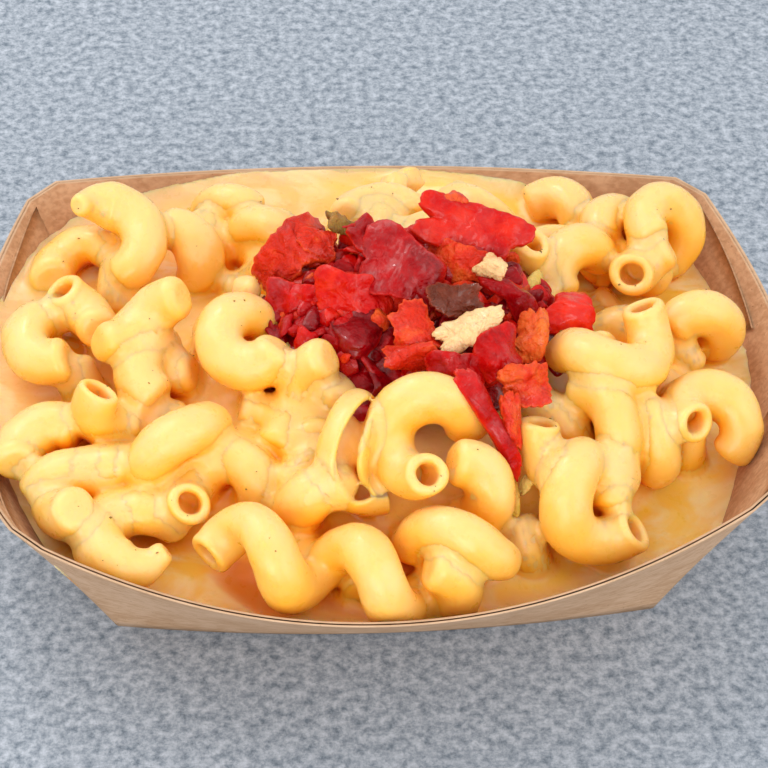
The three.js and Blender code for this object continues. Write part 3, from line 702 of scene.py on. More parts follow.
# %% The split noodle
SPLIT_WAY = unit(np.array([0.18, -0.7, 0.69]))
SPLIT_WALL, SPLIT_FILL, SPLIT_COAT = 1.35, 1.2, 0.6
SPLIT_MIDDLE = TUBE - SPLIT_WALL / 2
MOUTH_END, MOUTH_MORE = 16, 22
MOUTH_SHUT, SHUT_FROM, SHUT_TO = 0.97, 0.45, 0.75
ARC_STEPS, LIP_STEPS = 30, 5


def split_frame(coil, t):
    """Directions across a split noodle, towards its mouth and sideways, and the mouth's angle."""
    way, share = coil.way(t), t / coil.half
    up = unit(SPLIT_WAY - way * (way @ SPLIT_WAY)[..., None])
    mouth = (MOUTH_END + MOUTH_MORE * np.cos(np.clip(share, -1, 1) * math.pi / 2)) * DEG
    return up, np.cross(way, up), mouth * (1 - MOUTH_SHUT * ramp(share, SHUT_FROM, SHUT_TO))


def split_mesh(coil, step):
    """Points and face arrays of a noodle with a C-shaped section and flat ends. An end's face is
    a strip of quads from one lip round to the other, with a triangle at each lip."""
    t = np.linspace(-coil.half, coil.half, int(2 * coil.half * coil.speed / step) + 2)
    up, side, mouth = split_frame(coil, t)
    opening = mouth[:, None]
    arc = mix(opening, 2 * math.pi - opening, np.linspace(0, 1, ARC_STEPS))
    lip = np.linspace(0, math.pi, LIP_STEPS + 2)[1:-1]
    bulge = np.sin(lip) * SPLIT_WALL / 2 / TUBE
    lip_radius = np.tile(SPLIT_MIDDLE + np.cos(lip) * SPLIT_WALL / 2, (len(t), 1))
    angle = np.concatenate([arc, 2 * math.pi - opening + bulge, arc[:, ::-1], opening - bulge],
                           axis=1)
    radius = np.concatenate([np.full_like(arc, TUBE), lip_radius,
                             np.full_like(arc, TUBE - SPLIT_WALL), lip_radius[:, ::-1]], axis=1)
    radius = radius * oval(coil, t[:, None], angle)
    normal = up[:, None] * np.cos(angle)[..., None] + side[:, None] * np.sin(angle)[..., None]
    points = coil.at(t)[:, None] + normal * radius[..., None]
    points = points + normal * (SPLIT_COAT * skin_noise(points))[..., None]
    rows, cols = angle.shape
    tip, half, last_row = ARC_STEPS + LIP_STEPS // 2, cols // 2, (rows - 1) * cols
    run = np.arange(1, half)
    outer, inner = (tip - run) % cols, tip + run
    quads = np.stack([outer[1:], outer[:-1], inner[:-1], inner[1:]], axis=1)
    tips = tip + np.array([[-1, 0, 1], [half - 1, half, half + 1]])
    faces = np.concatenate([grid_faces(rows, cols), quads[:, ::-1], quads + last_row])
    return points.reshape(-1, 3), faces, np.concatenate([tips[:, ::-1], tips + last_row])


def split_distance(coil, t, offset, over):
    """Distance to the split noodle's wall and to the sauce that lies in it."""
    up, side, mouth = split_frame(coil, t)
    px, py = (offset * up).sum(axis=1), (offset * side).sum(axis=1)
    turn = np.arctan2(py, px)
    radial = np.hypot(px, py) / oval(coil, t, turn)
    short = np.maximum(mouth - np.abs(turn), 0)
    from_lip = np.hypot(radial * np.cos(short) - SPLIT_MIDDLE, radial * np.sin(short))
    wall = np.hypot(np.where(short > 0, from_lip, radial - SPLIT_MIDDLE), over) - SPLIT_WALL / 2
    filling = np.maximum(np.maximum(radial - SPLIT_MIDDLE, px + SPLIT_FILL), over - 0.2)
    return np.minimum(wall, filling)


# %% [markdown]
# ## Where the walls stop the food
#
# A wall's outer face is known as a function of its own two parameters. To ask how far out it is at
# a given height and place, the height gives the share u of the way up, and the place along the
# wall gives t, which depends on u again. Three rounds settle both.

# %% Distance to the walls
FOOD_INSET, PRESS = 2 * CARD + GAP + 0.02, 0.15


def wall_reach(wall, lateral, z):
    """The outward coordinate of a wall's outer face at a place along it and a height."""
    start, end, form, outward, _ = wall
    (rim_a, base_a), (rim_b, base_b) = corner(start), corner(end)
    side, run = (0, 1) if outward[0] else (1, 0)
    sign = outward[side]
    t = np.full(np.broadcast(lateral, z).shape, 0.5)
    for _ in range(3):
        belly = 1 - (2 * t - 1) ** 2
        u = np.clip(z / (mix(rim_a[2], rim_b[2], t) - form["sag"] * belly), 0, 1.3)
        from_a, to_b = mix(base_a[run], rim_a[run], u), mix(base_b[run], rim_b[run], u)
        t = np.clip((lateral - from_a) / (to_b - from_a), 0, 1)
    belly = 1 - (2 * t - 1) ** 2
    base = mix(base_a[side], base_b[side], t) + sign * form["base_bulge"] * belly
    rim = mix(rim_a[side], rim_b[side], t) + sign * form["bulge"] * belly
    return sign * mix(base, rim, u)


def room_depth(x, y, z):
    """How far a place is inside the boat's inner faces, in mm; below 0 it is outside."""
    depth = None
    for wall in WALLS:
        side = 0 if wall[3][0] else 1
        here, lateral = (x, y) if side == 0 else (y, x)
        inside = wall_reach(wall, lateral, z) - wall[3][side] * here - FOOD_INSET
        depth = inside if depth is None else np.minimum(depth, inside)
    return depth


def pressed(points):
    """Food that would pass through a wall is pushed back against it."""
    points = points.copy()
    for wall in WALLS:
        side = 0 if wall[3][0] else 1
        sign = wall[3][side]
        reach = wall_reach(wall, points[:, 1 - side], points[:, 2]) - FOOD_INSET - PRESS
        over = np.maximum(sign * points[:, side] - reach, 0)
        points[:, side] -= sign * over
    return points


# %% [markdown]
# ## The sauce as a field
#
# Cheese sauce fills whatever lies close together and thins out over what stands alone. A smooth
# minimum does the same with distances: F = -k ln(sum of exp(-d / k)) over the distances d to every
# noodle, to the heap's core and to the pool's level. Where only one of them is near, F equals that
# distance, and where two meet, F dips and a rounded bridge forms. The surface F = 0 is then drawn
# as a mesh. It lies a tenth of a millimetre under the bare noodles, so they show on the tops and
# the sauce shows in between. At the walls it reaches a little into the card, so its edge is clean.

# %% Distances to the noodles
FILLET, UNDER_SKIN, SOAKED = 0.85, 0.12, 0.35
SAUCE_BORE, HOLLOW = 5.5, 9
CELL, SAMPLE_STEP = 0.6, 1.5
LOW, HIGH = np.array([-88.0, -70.0, 20.0]), np.array([88.0, 70.0, 69.0])
NEAREST, FURTHEST = -8, 30


def pull(distance):
    """What a distance adds to the smooth minimum's sum."""
    return np.exp(-np.clip(distance, NEAREST, FURTHEST) / FILLET)


def tube_distance(coil, points):
    """Distance from points to a noodle: hollow at its open end, filled with sauce elsewhere. The
    nearest t comes from samples and then from Newton steps on half the squared distance."""
    low, high = -end_reach(coil, "start"), end_reach(coil, "end")
    samples = np.linspace(low, high, max(5, int((high - low) * coil.speed / SAMPLE_STEP)))
    centres = coil.at(samples)
    squares = ((points ** 2).sum(axis=1)[:, None] - 2 * points @ centres.T
               + (centres ** 2).sum(axis=1)[None, :])
    t = samples[squares.argmin(axis=1)]
    gap = samples[1] - samples[0]
    least, most = np.maximum(t - gap, low), np.minimum(t + gap, high)
    for _ in range(4):
        away = points - coil.at(t)
        slope = (away * coil.way(t)).sum(axis=1) * coil.speed
        bend = coil.speed ** 2 + coil.radius * (away * coil.outward(t)).sum(axis=1)
        t = np.clip(t + slope / np.maximum(bend, 0.2 * coil.speed ** 2), least, most)
    offset = points - coil.at(t)
    way, out = coil.way(t), coil.outward(t)
    across = np.cross(way, out)
    axial = (offset * way).sum(axis=1)
    px, py = (offset * out).sum(axis=1), (offset * across).sum(axis=1)
    radial = np.hypot(px, py) / oval(coil, t, np.arctan2(py, px))
    at_start, at_end = t <= low + 1e-6, t >= high - 1e-6
    over = np.where(at_start, np.maximum(-axial, 0), np.where(at_end, np.maximum(axial, 0), 0))
    if coil.split:
        return split_distance(coil, t, offset, over)
    full = np.hypot(np.maximum(radial - TUBE + END_ROUND, 0), over) - END_ROUND
    if not coil.open_end:
        return full
    here = at_start if coil.open_end == "start" else at_end
    from_end = ((t - low) if coil.open_end == "start" else (high - t)) * coil.speed
    tube_wall = np.hypot(radial - MIDDLE, over * here) - WALL
    plug = np.maximum(full, SAUCE_BORE - from_end + over * here)
    return np.minimum(np.where(from_end < HOLLOW, tube_wall, full), plug)


# %% The field on a grid
CORE_DROP, CORE_SLOPE, CORE_EDGE, EDGE_SLOPE = 4.0, 0.85, 0.94, 60
SWELL_HEIGHT, SWELL_SIZE, STREAK_HEIGHT = 0.30, 26, 0.16
MENISCUS_HEIGHT, MENISCUS_REACH = 1.3, 1.6
BRIM_ROOM, BRIM_RISE, BRIM_EASE, BACK_FROM = 0.1, 1.1, 1.2, 30
MARGIN, SKIN_REACH, UNDERSIDE = TUBE + 4.0, 1.5, LOW[2] + 1.5

shape = np.ceil((HIGH - LOW) / CELL).astype(int) + 1
axes = [LOW[i] + CELL * np.arange(shape[i]) for i in range(3)]
gx, gy, gz = np.meshgrid(*axes, indexing="ij", sparse=True)
total = np.zeros(shape, dtype=np.float32)
for coil in top_coils + under_coils + deep_coils:
    path = coil.at(np.linspace(-coil.half, coil.half, 24))
    first = np.maximum(((path.min(axis=0) - MARGIN - LOW) / CELL).astype(int), 0)
    last = np.minimum(((path.max(axis=0) + MARGIN - LOW) / CELL).astype(int) + 1, shape)
    part = tuple(slice(*ends) for ends in zip(first, last))
    local = [axis[cut] for axis, cut in zip(axes, part)]
    block = np.stack(np.meshgrid(*local, indexing="ij"), axis=-1)
    total[part] += pull(tube_distance(coil, block.reshape(-1, 3)).reshape(block.shape[:3]))

rho = np.hypot((gx - CORE["x"]) / CORE["length"], (gy - CORE["y"]) / CORE["depth"])
core_distance = ((gz - core_height(rho) + CORE_DROP) * CORE_SLOPE
                 + np.maximum(rho - CORE_EDGE, 0) * EDGE_SLOPE)
inside = room_depth(gx, gy, gz)
from_wall = np.maximum(inside, 0)
plan = np.stack(np.broadcast_arrays(gx, gy, 0.0), axis=-1)[:, :, 0]
swell = SWELL_HEIGHT * ripple(plan, SWELL_SIZE, 31)[:, :, None]
streaks = STREAK_HEIGHT * np.sin((gx * 0.55 + 5.0 * np.sin(gy * 0.13 + 0.7)) * 0.9
                                 + 1.5 * np.sin(gy * 0.31))
meniscus = MENISCUS_HEIGHT * np.exp(-from_wall / MENISCUS_REACH)
level = level_at(gx, gy) + swell + streaks + meniscus
# At the back the pool stays below the wall's rim; elsewhere the brim is far above it.
rim_line = wall_points(WALLS[2], np.linspace(1, -1, 41), np.ones(41))
back_rim = np.interp(gx, rim_line[:, 0], rim_line[:, 2])
brim = back_rim + BRIM_ROOM + BRIM_RISE * np.sqrt(from_wall) + 40 * (gy < BACK_FROM)
level = -BRIM_EASE * np.log(np.exp(-level / BRIM_EASE)
                            + np.exp(-np.minimum(brim, 90) / BRIM_EASE))
pool_share = pull(gz - level)
total += pool_share + pull(core_distance)
field = -FILLET * np.log(total + 1e-12) + UNDER_SKIN
near = np.abs(field) < SKIN_REACH
noise = np.zeros_like(field)
noise[near] = skin_noise(np.stack(np.broadcast_arrays(gx, gy, gz), axis=-1)[near])
field = np.maximum(field - noise, -inside - SOAKED)
field = np.maximum(field, UNDERSIDE - gz)
print("sauce field of", shape, "cells, filled share", round(float((field < 0).mean()), 3))

# %% [markdown]
# ## Light and dark places
#
# The cheese's colour carries painted light and shade: it is pale on open tops and a deeper, darker
# orange in the crevices and low places, where shade falls and light bounces between the noodles.
# Two measures on every point tell the materials which is which. The first is how full the space
# round
# the point is: the field's inside, blurred over a few millimetres, is near a half on a flat
# surface, less on a ridge and more in a hollow. The second is how far the point lies below the
# heap's local envelope.

# %% Measures of openness
def blurred(grid, radius, rounds=3):
    """A grid smoothed along each axis by running means, edges held."""
    for _ in range(rounds):
        for axis in range(grid.ndim):
            padded = np.concatenate([np.repeat(grid.take([0], axis), radius + 1, axis), grid,
                                     np.repeat(grid.take([-1], axis), radius, axis)], axis)
            sums = np.cumsum(padded, axis, dtype=np.float64)
            width = 2 * radius + 1
            upper = sums.take(np.arange(width, sums.shape[axis]), axis)
            lower = sums.take(np.arange(0, sums.shape[axis] - width), axis)
            grid = ((upper - lower) / width).astype(np.float32)
    return grid


def sampled(grid, points, low, cell):
    """Trilinear values of a grid of any number of axes at points."""
    place = (points - low) / cell
    top = np.array(grid.shape) - 1.001
    place = np.clip(place, 0, top)
    base = place.astype(int)
    part = place - base
    value = 0
    for corner_bits in range(2 ** points.shape[1]):
        step = np.array([(corner_bits >> k) & 1 for k in range(points.shape[1])])
        weight = np.prod(np.where(step == 1, part, 1 - part), axis=1)
        value = value + weight * grid[tuple((base + step).T)]
    return value


AHEAD, FULL_FROM, FULL_TO, DEEPEST = 1.2, 0.30, 0.85, 12.0
coarse = slice(None, None, 2)
filled = (field[coarse, coarse, coarse] < 0).astype(np.float32)
fullness = blurred(filled, 2)
heights = np.where(filled > 0, axes[2][coarse][None, None, :], LOW[2]).max(axis=2)
envelope = blurred(heights.astype(np.float32), 4, 2)


def measures(points, normals):
    """Crevice and depth values for points with normals, each 0 on open tops and rising to 1."""
    full = sampled(fullness, points + normals * AHEAD, LOW, 2 * CELL)
    below = sampled(envelope, points[:, :2], LOW[:2], 2 * CELL) - points[:, 2]
    return ramp(full, FULL_FROM, FULL_TO), ramp(below, 0.0, DEEPEST)


def grid_normals(points, faces):
    """Unit normals at the points of a mesh of triangles or quads, from its faces' diagonals."""
    a, b, c, d = (points[faces[:, k]] for k in (0, 1, 2, -1))
    face_normal = np.cross(c - a, d - b) if faces.shape[1] == 4 else np.cross(b - a, c - a)
    total_normal = np.zeros_like(points)
    for k in range(faces.shape[1]):
        for axis in range(3):
            total_normal[:, axis] += np.bincount(faces[:, k], face_normal[:, axis], len(points))
    return unit(total_normal)


# %% The noodles' mesh
SPLIT_STEP = 0.6
# each layer with the distance between its rings and the number of points in one
LAYERS = ((top_coils, 0.86, 32), (under_coils, 1.1, 24), (deep_coils, 1.5, 18))
parts, offset = [], 0
for group, step, cols in LAYERS:
    for coil in group:
        points, quads, ends = (split_mesh(coil, SPLIT_STEP) if coil.split
                               else tube_mesh(coil, step, cols))
        parts.append((points, quads + offset, ends + offset))
        offset += len(points)
noodle_points, *noodle_faces = (np.concatenate(column) for column in zip(*parts))
noodle_points = pressed(noodle_points)
noodle_normals = unit(sum(grid_normals(noodle_points, faces) for faces in noodle_faces))
noodle_crevice, depth = measures(noodle_points, noodle_normals)
zero = np.zeros(len(depth))
# side is 1 less the normal's upward part: the material paints shade with it on sides that face
# away from above, as it does with crevice and depth.
noodles = make_piece("noodles", noodle_points - CENTRE, noodle_faces, ("pasta_heap",),
                     {"crevice": noodle_crevice, "depth": depth,
                      "side": 1 - noodle_normals[:, 2], "pool": zero, "pale": zero})

# %% The sauce's mesh
ADAPTIVITY, PROBE = 0.1, 1.8
volume = openvdb.FloatGrid(3.0)
volume.copyFromArray(np.ascontiguousarray(field, dtype=np.float32))
sauce_points, *sauce_faces = volume.convertToPolygons(isovalue=0.0, adaptivity=ADAPTIVITY)
sauce_points = sauce_points.astype(float) * CELL + LOW
sauce_faces = [faces.astype(int) for faces in sauce_faces if len(faces)]
normals = unit(sum(grid_normals(sauce_points, faces) for faces in sauce_faces))
ahead_full, behind_full = (sampled(fullness, sauce_points + normals * way, LOW, 2 * CELL).mean()
                           for way in (PROBE, -PROBE))
if ahead_full > behind_full:
    sauce_faces = [faces[:, ::-1] for faces in sauce_faces]
    normals = -normals
crevice, depth = measures(sauce_points, normals)
share = sampled((pool_share / total).astype(np.float32), sauce_points, LOW, CELL)
sx, sy, sz = sauce_points.T
# The pool is pale near the walls and at the left and back. Its painted shade below the heap's
# envelope is weakened to four tenths everywhere but at the front left, where it turns the pool
# deep orange.
thin_edge = 1 - ramp(room_depth(sx, sy, sz), 0.5, 6.0)
depth = depth * mix(0.4, 1, ramp(-sy, 28, 42) * ramp(-sx, -25, 0))
far_left = np.maximum(ramp(sy, 30, 50) * ramp(-sx, -10, 20),
                      ramp(-sx, 50, 70) * ramp(sy, -35, -10))
pale = np.clip(0.85 * thin_edge + 0.7 * far_left, 0, 1)
# As on the noodles, crevice, depth and side carry painted shade into the sauce's colour.
sauce = make_piece("cheese_sauce", sauce_points - CENTRE, sauce_faces, ("sauce",),
                   {"crevice": crevice, "depth": depth, "pool": np.clip(share, 0, 1),
                    "pale": pale, "side": 1 - normals[:, 2]})

# %% [markdown]
# ## Roasted peppers, onion and herb
#
# A piece of pepper is a slab with a cut outline, and a grid covers it: rings run from the middle
# of its skin side out to the edge, roll over and return to the middle of its underside. In polar
# form the outline is r(a) = (|cos a|^n + |sin a|^n)^(-1/n), a rounded square, times waves and
# notches that make every piece different. Roasting wrinkles the skin, so folds and creases run
# across it, and each piece curls along its length.

# %% The toppings' surfaces
TOP_LIMIT = solid_box[1][2] / MM - 0.1
CRISP = 2.5  # added to the squareness in the table
WAVINESS = 0.16
# height, number and shift from piece to piece of the outline's waves
EDGE_WAVES = ((0.6, 2, 7), (0.5, 3, 4), (0.3, 5, 11))
# how wavy the cut edge is, and how many notches it has
SKIN_EDGE, TORN_EDGE = (0.011, 1), (0.024, 2)
NOTCH_WIDTH, NOTCH_DEPTH = 0.16, (0.10, 0.24)
FOLDS, FOLD_SLOPE = 5, (0.15, 0.42)
OUTLINE_STEPS = 84
TOP_RINGS = np.concatenate([np.linspace(0.06, 0.86, 13), [0.91, 0.95, 0.98]])
FACE = 1 - 0.62 * TOP_RINGS ** 3
# the rings over the top, round the edge and back underneath: size, height and share of the rim
RING_SIZES = np.concatenate([TOP_RINGS, [1.0, 1.0, 0.985], TOP_RINGS[::-1]])[:, None]
RING_HEIGHTS = np.concatenate([FACE, [0.22, 0.0, -0.25], -FACE[::-1]])[:, None]
RING_RIMS = np.concatenate([ramp(TOP_RINGS, 0.88, 0.98), [1, 1, 1],
                            ramp(TOP_RINGS[::-1], 0.5, 0.9)])


def turn_about(axis, angle):
    """The matrix of a turn about z, or about y."""
    c, s = math.cos(angle), math.sin(angle)
    if axis == "z":
        return np.array([[c, -s, 0], [s, c, 0], [0, 0, 1]])
    return np.array([[c, 0, s], [0, 1, 0], [-s, 0, c]])


def cut_outline(rng, kind, square, index):
    """The cosine, sine and radius of a piece's outline at even angles."""
    angle = np.linspace(0, 2 * math.pi, OUTLINE_STEPS, endpoint=False)
    c, s, power = np.cos(angle), np.sin(angle), square + CRISP
    outline = (np.abs(c) ** power + np.abs(s) ** power) ** (-1 / power)
    outline = outline * (1 + WAVINESS * sum(height * np.sin(count * angle + shift * index)
                                            for height, count, shift in EDGE_WAVES))
    ragged, notches = SKIN_EDGE if kind in ("skin", "dark") else TORN_EDGE
    for waves in (5, 8, 13, 21, 29):
        outline = outline * (1 + ragged * np.sin(waves * angle + rng.uniform(0, 6.3)))
    for _ in range(notches):
        apart = (angle - rng.uniform(0, 2 * math.pi) + math.pi) % (2 * math.pi) - math.pi
        outline = outline * (1 - rng.uniform(*NOTCH_DEPTH) * np.exp(-(apart / NOTCH_WIDTH) ** 2))
    return c, s, outline


def topping_piece(row, index):
    """One topping as a closed wrinkled slab; rim is 1 on its cut edge and 0 on its faces."""
    name, kind, x, y, z, length, depth, thickness, turn, lean, compass, curl, square, taper = row
    rng = np.random.default_rng(500 + index)
    c, s, outline = cut_outline(rng, kind, square, index)
    narrow = np.maximum(1 - taper * c * outline, 0.12)
    px = c * outline * length / 2 * RING_SIZES
    py = s * outline * narrow * depth / 2 * RING_SIZES
    flat = np.stack([px, py, 0 * px], axis=-1)
    seed = 600 + 5 * index
    buckle = 0.60 * ripple(flat, 9, seed) + 0.22 * ripple(flat * [2.2, 0.8, 1], 5, seed + 1)
    for _ in range(FOLDS):
        way = rng.uniform(0, 2 * math.pi)
        far = px * math.cos(way) + py * math.sin(way) - rng.uniform(-0.35, 0.35) * depth
        slope = rng.uniform(*FOLD_SLOPE) * rng.choice([-0.6, 1])
        buckle = buckle - slope * (np.sqrt(far ** 2 + 0.02) - 0.22 * depth)
    creases = -0.50 * np.abs(ripple(flat * [1.6, 1, 1], 5.2, seed + 3, 9))
    fine = creases + 0.10 * ripple(flat * [2.5, 1, 1], 1.7, seed + 2, 12)
    bend = curl * (0.35 - (2 * px / length) ** 2)
    pz = RING_HEIGHTS * thickness / 2 + bend + buckle + fine * np.sign(RING_HEIGHTS)
    place = (turn_about("z", compass * DEG) @ turn_about("y", lean * DEG)
             @ turn_about("z", (turn - compass) * DEG))
    points = with_tips(np.stack([px, py, pz], axis=-1)) @ place.T + [x, y, z]
    points[:, 2] -= max(0, points[:, 2].max() - TOP_LIMIT)
    rim = np.concatenate([np.repeat(RING_RIMS, OUTLINE_STEPS), [0, 1]])
    tone = np.full(len(points), rng.uniform(0, 1))
    return make_piece("roasted_" + name, points - CENTRE, closed_grid(*px.shape, True),
                      (name,), {"rim": rim, "tone": tone})


toppings = [topping_piece(row, index) for index, row in enumerate(TOPPINGS)]

# %% [markdown]
# ## The bed of shreds
#
# Between the large pieces the pile is made of small shreds. The mound under them is a polar grid
# with creased lumps, and single shreds lie all over it: each is a stretched ball of 13 by 18
# points with blunt corners and two folds, and all of one colour are one mesh. A few torn bits of
# pasta and green slivers of onion are made the same way.

# %% The mound under the toppings
BED_RINGS, BED_STEPS, BED_SINK, BED_FOOT = 64, 150, 0.9, 2.5
# height, size, seed and number of waves of the creases between the lumps
BED_CREASES = ((0.9, 4.2, 42, 9), (0.4, 2.2, 43, 12))


def bed_height(x, y):
    """The mound's height, which rises towards the back and falls off at the edge."""
    rho = np.hypot((x - BED["x"]) / BED["length"], (y - BED["y"]) / BED["depth"])
    crown = BED["top"] + BED["rise"] * (y - BED["y"])
    return mix(BED["edge"], crown, 1 - np.minimum(rho, 1) ** 4)


def bed_mesh():
    """Points and faces of the mound: rings out to its edge, then in again under it."""
    rho = np.concatenate([np.linspace(0.02, 1, BED_RINGS), [0.97, 0.6, 0.2]])[:, None]
    angle = np.linspace(0, 2 * math.pi, BED_STEPS, endpoint=False)[None, :]
    reach = rho * (0.98 + 0.02 * np.sin(5 * angle) * rho)
    x = BED["x"] + BED["length"] * reach * np.cos(angle)
    y = BED["y"] + BED["depth"] * reach * np.sin(angle)
    points = np.stack([x, y, bed_height(x, y) - BED_SINK], axis=-1)
    lumps = 0.7 * ripple(points, 7, 41, 9)
    for height, *wave in BED_CREASES:
        lumps = lumps - height * np.abs(ripple(points, *wave))
    points[..., 2] += lumps * ramp(1 - rho, 0.0, 0.06)
    points[BED_RINGS:, :, 2] = BED["edge"] - BED_FOOT
    return with_tips(points), *closed_grid(*points.shape[:2], True)


bed_points, *bed_faces = bed_mesh()
bed = make_piece("pepper_shred_mound", bed_points - CENTRE, bed_faces,
                 ("pepper_bed",), {"rim": np.zeros(len(bed_points)),
                                   "tone": 0.5 + 0.5 * ripple(bed_points, 6, 44, 9)})


# %% Single shreds
BALL_ROWS, BALL_COLS, BALL_END, BLUNT = 13, 18, 0.12, (0.8, 0.6, 0.7)
SHRED_FOLDS, FOLD_STEEP, UNEVEN = 2, (0.15, 0.6), 0.22


def creased_ball(rng, count, spans):
    """Stretched balls with blunt corners and two sharp folds each; count x points x 3."""
    polar = np.linspace(BALL_END, math.pi - BALL_END, BALL_ROWS)[:, None]
    around = np.linspace(0, 2 * math.pi, BALL_COLS, endpoint=False)[None, :]
    ball = np.stack(np.broadcast_arrays(np.cos(polar), np.sin(polar) * np.cos(around),
                                        np.sin(polar) * np.sin(around)), axis=-1)
    ball = np.concatenate([ball.reshape(-1, 3), [[1.0, 0, 0], [-1.0, 0, 0]]])
    ball = np.sign(ball) * np.abs(ball) ** BLUNT
    p = ball * np.stack([rng.uniform(*span, count) / 2 for span in spans], axis=1)[:, None]
    drawn = p + rng.uniform(-50, 50, (count, 1, 3))
    p[..., :2] *= (1 + UNEVEN * ripple(drawn, 3.2, 811, 9))[..., None]
    for _ in range(SHRED_FOLDS):
        way = rng.uniform(0, 2 * math.pi, (count, 1))
        far = p[..., 0] * np.cos(way) + p[..., 1] * np.sin(way)
        steep = rng.uniform(*FOLD_STEEP, (count, 1))
        p[..., 2] -= steep * np.abs(far - rng.uniform(-1, 1, (count, 1)))
    p[..., 2] += UNEVEN * ripple(drawn, 1.9, 812, 9)
    return p, *closed_grid(BALL_ROWS, BALL_COLS, True)


def strewn(name, rng, place, spans, untidy):
    """Creased pieces at their places, turned to face up and a little forward, as one mesh."""
    count = len(place)
    p, *sides = creased_ball(rng, count, spans)
    up = unit(np.array([0, -0.45, 0.9]) + untidy * rng.normal(size=(count, 3)))
    along = rng.normal(size=(count, 3))
    along = unit(along - up * (along * up).sum(axis=1)[:, None])
    across = np.cross(up, along)
    p = (p[..., :1] * along[:, None] + p[..., 1:2] * across[:, None] + p[..., 2:] * up[:, None])
    points, each = (p + place[:, None]).reshape(-1, 3), p.shape[1]
    offset = each * np.arange(count)[:, None, None]
    faces = [(part + offset).reshape(-1, part.shape[1]) for part in sides]
    values = dict.fromkeys(("rim", "crevice", "depth", "side", "pool", "pale"),
                           np.zeros(len(points)))
    values["tone"] = np.repeat(rng.uniform(0, 1, count), each)
    return make_piece(name, points - CENTRE, faces, (), values)


def shreds(name, count, seed, length, width, thick, reach):
    """Pieces strewn over the mound."""
    rng = np.random.default_rng(seed)
    rho, angle = np.sqrt(rng.uniform(0, reach, count)), rng.uniform(0, 2 * math.pi, count)
    x = BED["x"] + BED["length"] * rho * np.cos(angle)
    y = BED["y"] + BED["depth"] * rho * np.sin(angle)
    z = bed_height(x, y) + rng.uniform(-0.4, 1.4, count)
    return strewn(name, rng, np.column_stack([x, y, z]), (length, width, thick), 0.42)


red_shreds = shreds("pepper_shreds_red", 100, 801, (5, 10), (4, 7),
                    (1.0, 1.8), 0.90)
dark_shreds = shreds("pepper_shreds_dark", 120, 803, (4, 9), (3, 6),
                     (0.9, 1.5), 0.98)
orange_shreds = shreds("pepper_shreds_orange", 44, 802, (3, 7), (2.5, 5),
                       (1.0, 1.8), 0.85)
TORN_PASTA = np.array([(39.0, -33.5, 48.0), (5.5, 53.0, 46.6), (9.5, 56.5, 46.4),
                       (-29.0, 11.0, 54.5), (21.5, 46.5, 50.0), (-62.0, -16.0, 45.5)])
pasta_flakes = strewn("torn_pasta", np.random.default_rng(91), TORN_PASTA,
                      ((6, 9), (5, 7), (2.0, 2.8)), 0.15)
SLIVERS = np.array([(24.0, -41.0, 43.5), (27.5, -37.0, 44.5), (33.0, 12.0, 54.0),
                    (12.0, 24.0, 56.0)])
slivers = strewn("onion_slivers", np.random.default_rng(92), SLIVERS,
                 ((7, 10), (2.5, 3.5), (0.9, 1.3)), 0.2)

# %% [markdown]
# ## Spice specks
#
# Fine specks of pepper and dried chilli stick to the coated noodles. Each is a squashed octahedron
# a few tenths of a millimetre across, and all of them are one mesh, with their places drawn from
# the noodles' own points, from a fixed seed.

# %% Specks on the tops
SPECKS, SPECK_SHAPE = 90, (1.5, 0.9, 0.5)
OPEN_UP, OPEN_ROUND, OPEN_ABOVE = 0.35, 0.35, 40
OCTAHEDRON = np.array([[0, 1, 4], [1, 2, 4], [2, 3, 4], [3, 0, 4],
                       [1, 0, 5], [2, 1, 5], [3, 2, 5], [0, 3, 5]])
CORNER_WAYS = np.array([[1, 0, 0], [0, 1, 0], [-1, 0, 0], [0, -1, 0], [0, 0, 1], [0, 0, -1]])
speck_rng = np.random.default_rng(77)
open_places = np.flatnonzero((noodle_normals[:, 2] > OPEN_UP) & (noodle_crevice < OPEN_ROUND)
                             & (noodle_points[:, 2] > OPEN_ABOVE))
chosen = speck_rng.choice(open_places, SPECKS, replace=False)
speck_sizes = speck_rng.uniform(0.12, 0.32, SPECKS) * speck_rng.uniform(0.6, 1.2, SPECKS)
stretch = speck_rng.uniform(0.6, 1.5, (SPECKS, 6, 1))
bits = CORNER_WAYS * stretch * speck_sizes[:, None, None] * SPECK_SHAPE
spin = speck_rng.uniform(0, 6.3, SPECKS)[:, None]
bx, by = bits[..., 0], bits[..., 1]
turned = np.stack([bx * np.cos(spin) - by * np.sin(spin), bx * np.sin(spin) + by * np.cos(spin),
                   bits[..., 2]], axis=-1)
speck_places = noodle_points[chosen] + noodle_normals[chosen] * 0.02
speck_points = (speck_places[:, None] + turned).reshape(-1, 3)
speck_faces = (OCTAHEDRON + 6 * np.arange(SPECKS)[:, None, None]).reshape(-1, 3)
specks = make_piece("spice_specks", speck_points - CENTRE, [speck_faces], (),
                    {"tone": np.repeat(speck_rng.uniform(0, 1, SPECKS), 6)})

# %% [markdown]
# ## Materials
#
# Colours are given as they look on a screen, from 0 to 255, and are turned into the linear values
# that light adds up in.

# %% Node helpers
def linear(r, g, b):
    """Linear colour with alpha from screen values 0-255: ((v + 0.055) / 1.055) ^ 2.4."""
    values = np.array([r, g, b]) / 255
    curve = np.where(values <= 0.04045, values / 12.92, ((values + 0.055) / 1.055) ** 2.4)
    return (*[float(v) for v in curve], 1.0)


